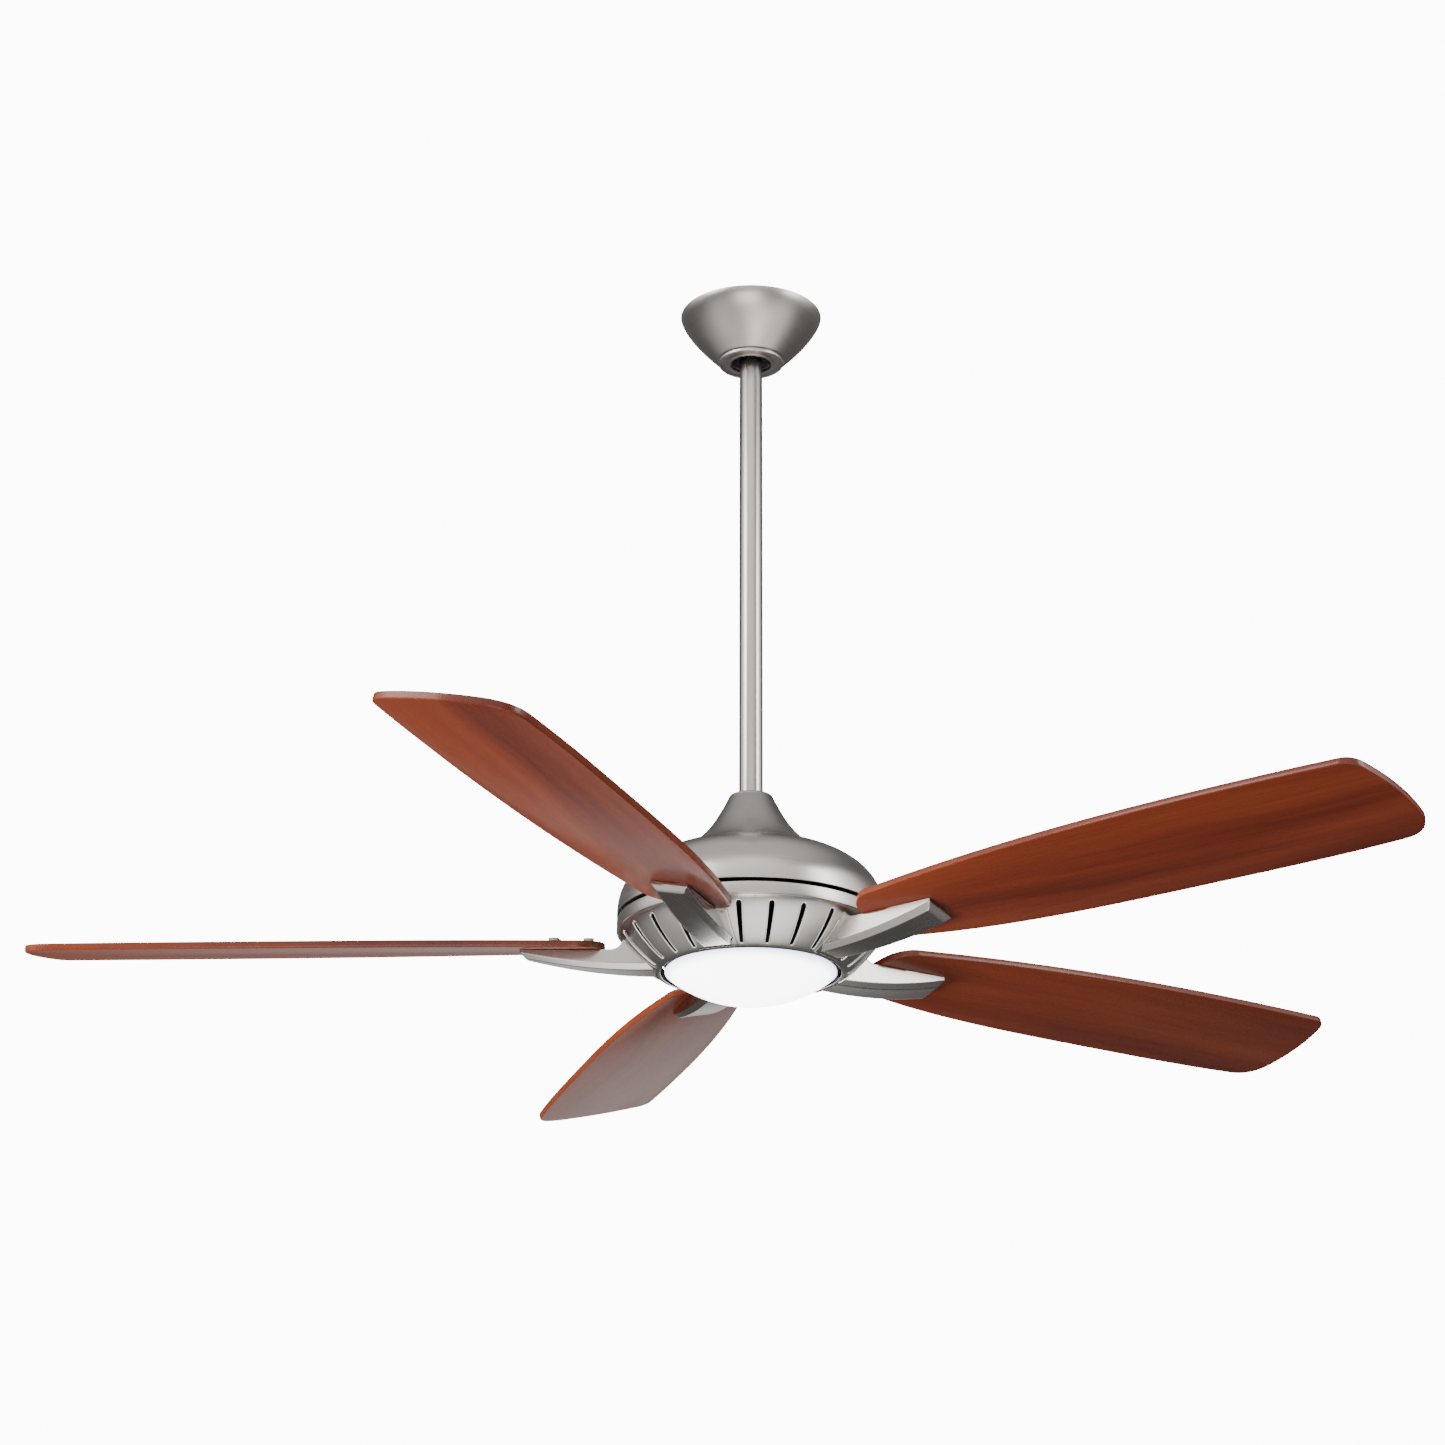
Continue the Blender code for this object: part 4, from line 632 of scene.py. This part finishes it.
def build_bowl():
    """Each bay is a ring of rings: the bay's border drawn in to the vent, through it and back inside."""
    side_steps, end_steps = VENT_SIDE_STEPS, VENT_END_STEPS
    t_side, a_end = np.linspace(0, 1, side_steps + 1), np.linspace(-1, 1, end_steps + 1)
    border_a = np.concatenate([np.ones(side_steps), a_end[:0:-1], -np.ones(side_steps), a_end[:-1]])
    border_t = np.concatenate([t_side[:-1], np.ones(end_steps), t_side[:0:-1], np.zeros(end_steps)])
    wide, narrow = (slot_outline(extra, side_steps, end_steps) for extra in (SLOT_EDGE, 0.0))
    middle = slot_outline(0.3 * SLOT_EDGE, side_steps, end_steps)
    shares = np.array([1, 0.75, 0.5, 0.28, 0.1])

    def drawn_in(share, offset):
        return border_a * share + wide[0] * (1 - share), border_t * share + wide[1] * (1 - share), offset

    rings = [drawn_in(share, 0.0) for share in shares]
    rings += [(*wide, 0.0), (*middle, -0.3 * SLOT_EDGE), (*narrow, -SLOT_EDGE),
              (*narrow, SLOT_EDGE - BOWL_WALL), (*wide, -BOWL_WALL)]
    rings += [drawn_in(share, -BOWL_WALL) for share in shares[::-1]]
    points, faces, count = [], [], 0

    def add(block, close=False):
        nonlocal count
        rows, columns = block.shape[:2]
        points.append(block.reshape(-1, 3))
        faces.extend(grid_faces(rows, columns, close_columns=close, start=count))
        count += rows * columns

    for bay in range(BAYS):
        if bay in VENTED_BAYS:
            add(np.stack([on_bowl(a, t, offset, bay) for a, t, offset in rings]), close=True)
        else:
            a, t = np.meshgrid(a_end, t_side)
            add(on_bowl(a, t, 0.0, bay))
            add(on_bowl(a, t, -BOWL_WALL, bay))
    lip = np.linspace(-np.pi / 2, np.pi / 2, 7)
    mouth = np.stack([BOWL_MOUTH_RADIUS - BOWL_LIP_BULGE * np.cos(lip),
                      BOWL_MOUTH + BOWL_WALL / 2 * (1 + np.sin(lip))], 1)
    inner, rim, edge = WALL_RADIUS - BOWL_WALL, BOWL_RIM_EDGE, BOWL_STEP_EDGE
    bend = np.linspace(0, np.pi / 2, 6)
    outer_rim = np.stack([DOME_RADIUS - rim * (1 - np.sin(bend)), BOWL_RIM - rim * (1 - np.cos(bend))], 1)
    step_edge = [(DOME_RADIUS, BOWL_STEP + edge), (DOME_RADIUS - 0.0002, BOWL_STEP + 0.0002),
                 (DOME_RADIUS - edge, BOWL_STEP), (WALL_RADIUS, BOWL_STEP)]
    collar = np.concatenate([[(inner, BOWL_STEP), (inner, BOWL_LEDGE[0]), (BOWL_LEDGE_RADIUS, BOWL_LEDGE[0]),
                              (BOWL_LEDGE_RADIUS, BOWL_LEDGE[1]), (inner, BOWL_LEDGE[1]), (inner, BOWL_RIM)],
                             outer_rim, step_edge])
    azimuth = FIRST_AZIMUTH + (np.arange(BAYS * end_steps + 1) / end_steps - 0.5) * BAY_ANGLE
    for line in (mouth, collar):
        block = np.empty((len(azimuth), len(line), 3))
        block[..., 0] = np.cos(azimuth)[:, None] * line[:, 0]
        block[..., 1] = np.sin(azimuth)[:, None] * line[:, 0]
        block[..., 2] = line[:, 1] + HEAD
        add(block)
    make_piece("bowl", np.concatenate(points), faces, nickel_shell, "rotor", ["vented_bowl"], "nickel")


def build_vent_edges():
    """A thin rounded bead round each vent's edge, lighter than the bowl's face: a painted highlight."""
    # how far out from the vent's edge, and how far over the bowl's face
    section = ((0.0010, -0.0003), (0.0009, 0.0001), (0.0006, 0.00028), (0.0003, 0.0002), (0.0, -0.0002),
               (-0.0001, -0.0007), (0.0004, -0.0009))
    rings = [(*slot_outline(extra, VENT_SIDE_STEPS, VENT_END_STEPS), offset) for extra, offset in section]
    blocks = [np.stack([on_bowl(a, t, offset, bay) for a, t, offset in rings]) for bay in VENTED_BAYS]
    rows, columns = blocks[0].shape[:2]
    faces = []
    for index in range(len(blocks)):
        faces += grid_faces(rows, columns, close_rows=True, close_columns=True, start=index * rows * columns)
    make_piece("vent_edges", np.concatenate([block.reshape(-1, 3) for block in blocks]), faces, nickel_edge,
               "rotor", slot="nickel", smooth=60)


# ---- blades -------------------------------------------------------------------------------------
def side_width(u, root, most, peak, power):
    """Half-width of a blade's side: widest at peak, falling with distance ** power to the root's."""
    return most - (most - root) * (np.abs(peak - u) / (peak - ROOT_SIDE)) ** power


def tip_edge(v):
    """How far out the blade's end reaches at v: an arc that bulges outwards."""
    return SWEEP_RADIUS - TIP_ARC_RADIUS + np.sqrt(TIP_ARC_RADIUS ** 2 - v * v)


def root_edge(v):
    """Where the blade starts at v: an arc that bulges towards the hub."""
    return ROOT_RADIUS + ROOT_NOSE_RADIUS - np.sqrt(ROOT_NOSE_RADIUS ** 2 - v * v)


def corner(start, middle, end, count=14):
    """The parabola that leaves start and reaches end along both sides of the corner."""
    t = np.linspace(0, 1, count)[:, None]
    return (1 - t) ** 2 * np.array(start) + 2 * t * (1 - t) * np.array(middle) + t ** 2 * np.array(end)


def blade_outline():
    """The blade seen from above: nose, leading side, tip and trailing side, as (u, v)."""
    def lead(u):
        return -side_width(u, **LEADING)

    def trail(u):
        return side_width(u, **TRAILING)

    tip_u = SWEEP_RADIUS - TIP_CORNER_INSET
    lead_tip = (tip_edge(lead(tip_u)), lead(tip_u))
    trail_tip = (tip_edge(trail(tip_u)), trail(tip_u))
    lead_root = (root_edge(LEADING["root"]), -LEADING["root"])
    trail_root = (root_edge(TRAILING["root"]), TRAILING["root"])
    nose_v = np.linspace(TRAILING["root"] - ROOT_CORNER, -LEADING["root"] + ROOT_CORNER, 16)
    nose = np.stack([root_edge(nose_v), nose_v], 1)
    lead_u = np.linspace(lead_root[0] + ROOT_CORNER, lead_tip[0] - TIP_LEADING_CORNER, 60)
    leading = np.stack([lead_u, lead(lead_u)], 1)
    tip_v = np.linspace(lead_tip[1] + TIP_LEADING_CORNER, trail_tip[1] - TIP_TRAILING_CORNER, 24)
    tip = np.stack([tip_edge(tip_v), tip_v], 1)
    trail_u = np.linspace(trail_tip[0] - TIP_TRAILING_CORNER, trail_root[0] + ROOT_CORNER, 60)
    trailing = np.stack([trail_u, trail(trail_u)], 1)
    return np.concatenate([
        nose[:-1], corner(nose[-1], lead_root, leading[0])[:-1], leading[:-1],
        corner(leading[-1], lead_tip, tip[0])[:-1], tip[:-1], corner(tip[-1], trail_tip, trailing[0])[:-1],
        trailing[:-1], corner(trailing[-1], trail_root, nose[0])[:-1]])


def inset(outline, distance):
    """The closed outline moved in, square to itself."""
    along = np.roll(outline, -1, axis=0) - np.roll(outline, 1, axis=0)
    along /= np.linalg.norm(along, axis=1)[:, None]
    return outline + np.stack([-along[:, 1], along[:, 0]], 1) * distance


def pitched(points, azimuth):
    """Tips a blade's points about its own length, then turns them to the blade's azimuth."""
    cos, sin = math.cos(-PITCH), math.sin(-PITCH)
    tip = np.array([[1, 0, 0], [0, cos, -sin], [0, sin, cos]])
    return turn_about_axis(np.asarray(points) @ tip.T, azimuth) + (0, 0, HEAD)


def build_blade(number, azimuth):
    """A flat board with rounded edges: the outline in loops from the top face to the bottom."""
    outline, half = blade_outline(), BLADE_THICKNESS / 2
    bend = np.linspace(0, np.pi / 2, 5)
    rim = [(BLADE_EDGE * (1 - math.sin(b)), half - BLADE_EDGE * (1 - math.cos(b))) for b in bend]
    rim += [(d, -z) for d, z in rim[::-1]]
    loops = np.stack([np.column_stack([inset(outline, d), np.full(len(outline), z)]) for d, z in rim])
    faces = capped_tube(*loops.shape[:2])
    flat = loops.reshape(-1, 3)
    own_cut = np.array([0.9, 0.35]) * number         # each board comes from its own place in the veneer
    grain = flat[:, :2] + own_cut
    make_piece(f"blade_board_{number}", pitched(flat, azimuth), faces, wood, "rotor",
               [f"blade_{number}"], "cherry_wood", 30, grain)


# ---- blade arms ---------------------------------------------------------------------------------
def arm_corners(u):
    """The six corners (v, z) of the arm's cross-section at each radius u: flat on the blade's plane above,
    curved and twisted below, with both lower edges chamfered and the tip's end thinned."""
    reach = np.clip((u - ARM_HUB_RADIUS) / (ARM_TIP - ARM_HUB_RADIUS), 0, None)
    slope = math.tan(PITCH)
    seat = -SEAT_OFFSET / math.cos(PITCH)
    low = ARM_HUB_LEVEL + (seat - ARM_TIP_THICKNESS - ARM_HUB_LEVEL) * reach ** 2
    step = np.clip(ARM_FILLET_START - u, 0, ARM_FILLET * ARM_FILLET_SHARE)
    rise = ARM_FILLET - np.sqrt(ARM_FILLET ** 2 - step ** 2)
    blunt = np.clip((u - ARM_TIP + ARM_CHAMFER) / ARM_CHAMFER, 0, ARM_BLUNTED)
    chamfer = ARM_CHAMFER * (1 - blunt)
    inner = ARM_HALF_WIDTH - chamfer - ARM_CHAMFER_INSET
    half = np.full_like(u, ARM_HALF_WIDTH)

    def above(v):
        return seat - slope * v + rise

    def below(v):
        return low - slope * reach * v + ARM_CHAMFER * blunt

    lift = chamfer + ARM_CHAMFER_RISE
    corners = [(-half, above(-half)), (half, above(half)), (half, below(half) + lift),
               (inner, below(inner)), (-inner, below(-inner)), (-half, below(-half) + lift)]
    return np.stack([np.stack(pair, -1) for pair in corners], -2)


def rim_weights(count, soft, steps, cuts):
    """Each row gives a rim point as shares of a polygon's corners: each corner is a parabola of `steps`
    pieces that takes the share `soft` of its sides, and each side has `cuts` points between."""
    rows = []
    for index in range(count):
        before, after = (index - 1) % count, (index + 1) % count
        for t in np.linspace(0, 1, steps + 1):
            start, middle, end = (1 - t) ** 2, 2 * t * (1 - t), t ** 2
            row = np.zeros(count)
            row[index] = middle + (start + end) * (1 - soft)
            row[before] += start * soft
            row[after] += end * soft
            rows.append(row)
        for share in np.linspace(soft, 1 - soft, cuts + 2)[1:-1]:
            row = np.zeros(count)
            row[index], row[after] = 1 - share, share
            rows.append(row)
    return np.array(rows)


def wall_radius_at(z):
    """Radius of the bowl's outer face at a height, from the same power curve as its side."""
    width, depth = WALL_RADIUS - BOWL_MOUTH_RADIUS, BOWL_STEP - BOWL_MOUTH
    down = np.clip((BOWL_STEP - z) / depth, 0, 1)
    side = BOWL_MOUTH_RADIUS + width * (1 - down ** BOWL_CURVE) ** (1 / BOWL_CURVE)
    return np.where(z > BOWL_STEP, DOME_RADIUS, side)


def build_arm(number, azimuth):
    """Rim points carried from the bowl's face, where each one meets it, to the arm's tip."""
    weights = rim_weights(count=6, soft=0.05, steps=3, cuts=7)

    def rim_at(u):
        return np.einsum("kc,ktcd->ktd", weights, arm_corners(u))

    settling_steps = 60
    root = np.full((len(weights), 1), WALL_RADIUS)
    for _ in range(settling_steps):
        rim = rim_at(root)
        wall = wall_radius_at(rim[..., 1]) + GAP
        root = 0.5 * root + 0.5 * np.sqrt(np.maximum(wall ** 2 - rim[..., 0] ** 2, 0.0))
    share = np.concatenate([np.linspace(0, 0.90, 46), np.linspace(0.92, 0.99, 8), [0.995, 1.0]])
    u = root + (ARM_TIP - root) * share
    rim = rim_at(u)
    end = np.clip((u - ARM_TIP + ARM_END_LENGTH) / ARM_END_LENGTH, 0, 1) ** 2 * ARM_END_INSET
    middle = rim.mean(axis=0, keepdims=True)
    rim = rim - np.sign(rim - middle) * np.minimum(end[..., None], np.abs(rim - middle))
    points = np.stack([u, rim[..., 0], rim[..., 1]], -1).transpose(1, 0, 2)
    faces = capped_tube(*points.shape[:2])
    flat = points.reshape(-1, 3)
    grain = np.stack([flat[:, 0], flat[:, 1] + flat[:, 2]], 1)
    placed = turn_about_axis(flat, azimuth) + (0, 0, HEAD)
    make_piece(f"arm_{number}", placed, faces, nickel_arm, "rotor",
               [f"blade_arm_{number}"], "nickel", 30, grain)


def build_flange(number, azimuth):
    """A thin plate that follows the bowl's face under the arm, with softened borders."""
    def with_border(low, high, edge, count):
        return np.concatenate([[low, low], np.linspace(low + edge, high - edge, count), [high, high]])

    v_edge = ARM_HALF_WIDTH + FLANGE_BORDER
    v = with_border(-v_edge, v_edge, FLANGE_EDGE, 21)
    t = with_border(*FLANGE_SPAN, FLANGE_SPAN_EDGE, 25)
    edge_v = np.full(len(v), FLANGE_HEIGHT)
    edge_t = np.full(len(t), FLANGE_HEIGHT)
    edge_v[[0, -1]] = edge_t[[0, -1]] = GAP
    edge_v[[1, -2]] = edge_t[[1, -2]] = FLANGE_HEIGHT - FLANGE_EDGE
    v_grid, t_grid = np.meshgrid(v, t)
    height = np.minimum(*np.meshgrid(edge_v, edge_t))
    blocks = []
    for offset in (height, np.full_like(height, GAP)):
        r, z = wall_point(t_grid, offset)
        blocks.append(np.stack([np.sqrt(r ** 2 - v_grid ** 2), v_grid, z], -1).reshape(-1, 3))
    faces = grid_faces(len(t), len(v)) + grid_faces(len(t), len(v), start=len(blocks[0]))
    flat = np.concatenate(blocks)
    grain = np.stack([flat[:, 1] * 0.2, flat[:, 0] * 2 + flat[:, 2]], 1)
    placed = turn_about_axis(flat, azimuth) + (0, 0, HEAD)
    make_piece(f"arm_flange_{number}", placed, faces, nickel_arm, "rotor",
               slot="nickel", smooth=40, uv=grain)


# ---- light --------------------------------------------------------------------------------------
def build_lens():
    """A shallow cap of a sphere below a flat flange, with a skirt that goes up inside the pan."""
    def cap(r, rim, sag, level):
        """Height at r of a sphere's cap that is `rim` in radius and hangs `sag` below the level."""
        ball = (rim ** 2 + sag ** 2) / (2 * sag)
        return level - (np.sqrt(ball ** 2 - r * r) - (ball - sag))

    r = LENS_RADIUS * np.sin(np.linspace(np.pi / 2, 0, 60))
    outer = np.stack([r, cap(r, LENS_RADIUS, LENS_SAG, -LENS_FLANGE)], 1)
    inside = SKIRT_RADIUS - LENS_WALL
    r = inside * np.sin(np.linspace(0, np.pi / 2, 40))
    inner = np.stack([r, cap(r, inside, LENS_SAG - LENS_WALL, -LENS_FLANGE)], 1)
    rim = [(inside, LENS_SKIRT), (SKIRT_RADIUS, LENS_SKIRT), (SKIRT_RADIUS, 0.0), (LENS_RADIUS, 0.0)]
    outline = np.concatenate([outer, inner, rim])
    outline[outline[:, 0] < 1e-6, 0] = 0.0
    turned("lens_dome", rounded(outline, 0.0006, 3, 40), lens_white, "light_lens", LENS_TOP + HEAD, 144,
           replaces=["lens"], slot="opal")


build_canopy()
build_trim_ring()
build_ball()
build_rod()
build_yoke_cover()
build_dome()
build_bowl()
build_vent_edges()
for index in range(BLADES):
    azimuth_of = FIRST_AZIMUTH + 2 * math.pi * index / BLADES
    build_blade(index + 1, azimuth_of)
    build_arm(index + 1, azimuth_of)
    build_flange(index + 1, azimuth_of)
build_lens()


# ---- studio -------------------------------------------------------------------------------------
def build_floor():
    """A wide pale floor that doesn't show in reflections or throw light back up at the fan."""
    size, level = 90.0, -5.0
    mesh = bpy.data.meshes.new("floor")
    corners = [(-size, -size, level), (size, -size, level), (size, size, level), (-size, size, level)]
    mesh.from_pydata(corners, [], [(0, 1, 2, 3)])
    material, _, shader = new_material("pale_floor", Roughness=0.9, Emission_Strength=3.0)
    shader.inputs["Base Color"].default_value = (0.82, 0.82, 0.82, 1)
    shader.inputs["Emission Color"].default_value = (1.0, 1.0, 1.0, 1)
    mesh.materials.append(material)
    floor = bpy.data.objects.new("floor", mesh)
    bpy.context.scene.collection.objects.link(floor)
    floor.visible_glossy = False
    floor.visible_diffuse = False


def add_softbox(name, place, target, size, power, mirrored=True):
    """A lamp panel at a place, aimed at a target; `mirrored` says whether reflections show it."""
    light = bpy.data.lights.new(name, "AREA")
    light.shape = "RECTANGLE"
    light.size, light.size_y = size
    light.energy = power
    lamp = bpy.data.objects.new(name, light)
    lamp.location = place
    lamp.rotation_euler = (Vector(target) - Vector(place)).to_track_quat("-Z", "Y").to_euler()
    lamp.visible_glossy = mirrored
    bpy.context.scene.collection.objects.link(lamp)


def build_sky():
    """White to the eye, even light for dull faces, and soft patches on a dark ground in reflections."""
    world = bpy.data.worlds.new("studio")
    bpy.context.scene.world = world
    world.use_nodes = True
    tree = world.node_tree
    at = Signal(tree)
    x, y, z = split_vector(at, at.node("ShaderNodeTexCoord", output="Generated"))

    def patch(aim, inner, outer, strength):
        """Full strength within `inner` degrees of the aim, fading to nothing at `outer` degrees."""
        aim = Vector(aim).normalized()
        cosine = x * aim.x + y * aim.y + z * aim.z
        return at.node("ShaderNodeMapRange", {"interpolation_type": "SMOOTHSTEP"}, {
            0: cosine, 1: math.cos(math.radians(outer)), 2: math.cos(math.radians(inner)),
            3: 0.0, 4: strength})

    ground = 0.10
    mirrored = patch((0.10, -0.34, -0.93), 6, 38, 2.5) + ground
    for aim, inner, outer, strength in (
            ((-0.68, 0.20, -0.70), 5, 30, 0.45),
            ((0.70, -0.30, -0.66), 6, 24, 1.20), ((-0.68, -0.32, -0.62), 5, 24, 0.90),
            ((0.0, -0.95, 0.28), 24, 46, 1.05),
            ((-0.97, -0.10, 0.28), 6, 30, 1.30), ((0.97, -0.10, 0.28), 6, 32, 1.35),
            ((-0.10, -0.25, 0.95), 20, 62, 0.70),
            ((0.0, 0.99, -0.05), 4, 16, 0.80)):
        mirrored = mirrored + patch(aim, inner, outer, strength)
    even_light, backdrop = (0.20, 0.20, 0.205, 1), (12.0, 12.0, 12.0, 1)
    seen_in_gloss = at.node("ShaderNodeLightPath", output="Is Glossy Ray")
    seen_directly = at.node("ShaderNodeLightPath", output="Is Camera Ray")
    colour = at.between(seen_directly, at.between(seen_in_gloss, even_light, mirrored), backdrop)
    background = tree.nodes["Background"]
    tree.links.new(colour.socket, background.inputs["Color"])


def build_camera():
    """Below the fan and in front of it, looking up by the tilt."""
    tilt, distance, drop = 0.3646, 2.8197, 0.8589
    data = bpy.data.cameras.new("camera")
    data.lens, data.sensor_width, data.shift_x = 80.47, 36.0, -0.0197
    data.clip_end = 50
    camera = bpy.data.objects.new("camera", data)
    camera.location = (0.0, -distance, HEAD - drop)
    camera.rotation_euler = (math.pi / 2 + tilt, 0, 0)
    bpy.context.scene.collection.objects.link(camera)
    bpy.context.scene.camera = camera


build_floor()
build_sky()
# name, place and target in metres, size in metres, power in watts
add_softbox("softbox_left", (-2.4, -1.6, 0.6), (0, 0, -0.5), (1.4, 2.0), 60)
add_softbox("softbox_low_left", (-3.0, -0.4, -2.0), (0, 0, -0.6), (1.6, 1.0), 150, mirrored=False)
add_softbox("softbox_right", (2.6, -1.2, 0.2), (0, 0, -0.6), (1.0, 2.0), 40)
add_softbox("softbox_front", (-0.3, -3.2, -2.0), (0, 0, -0.6), (2.0, 1.0), 25)
build_camera()
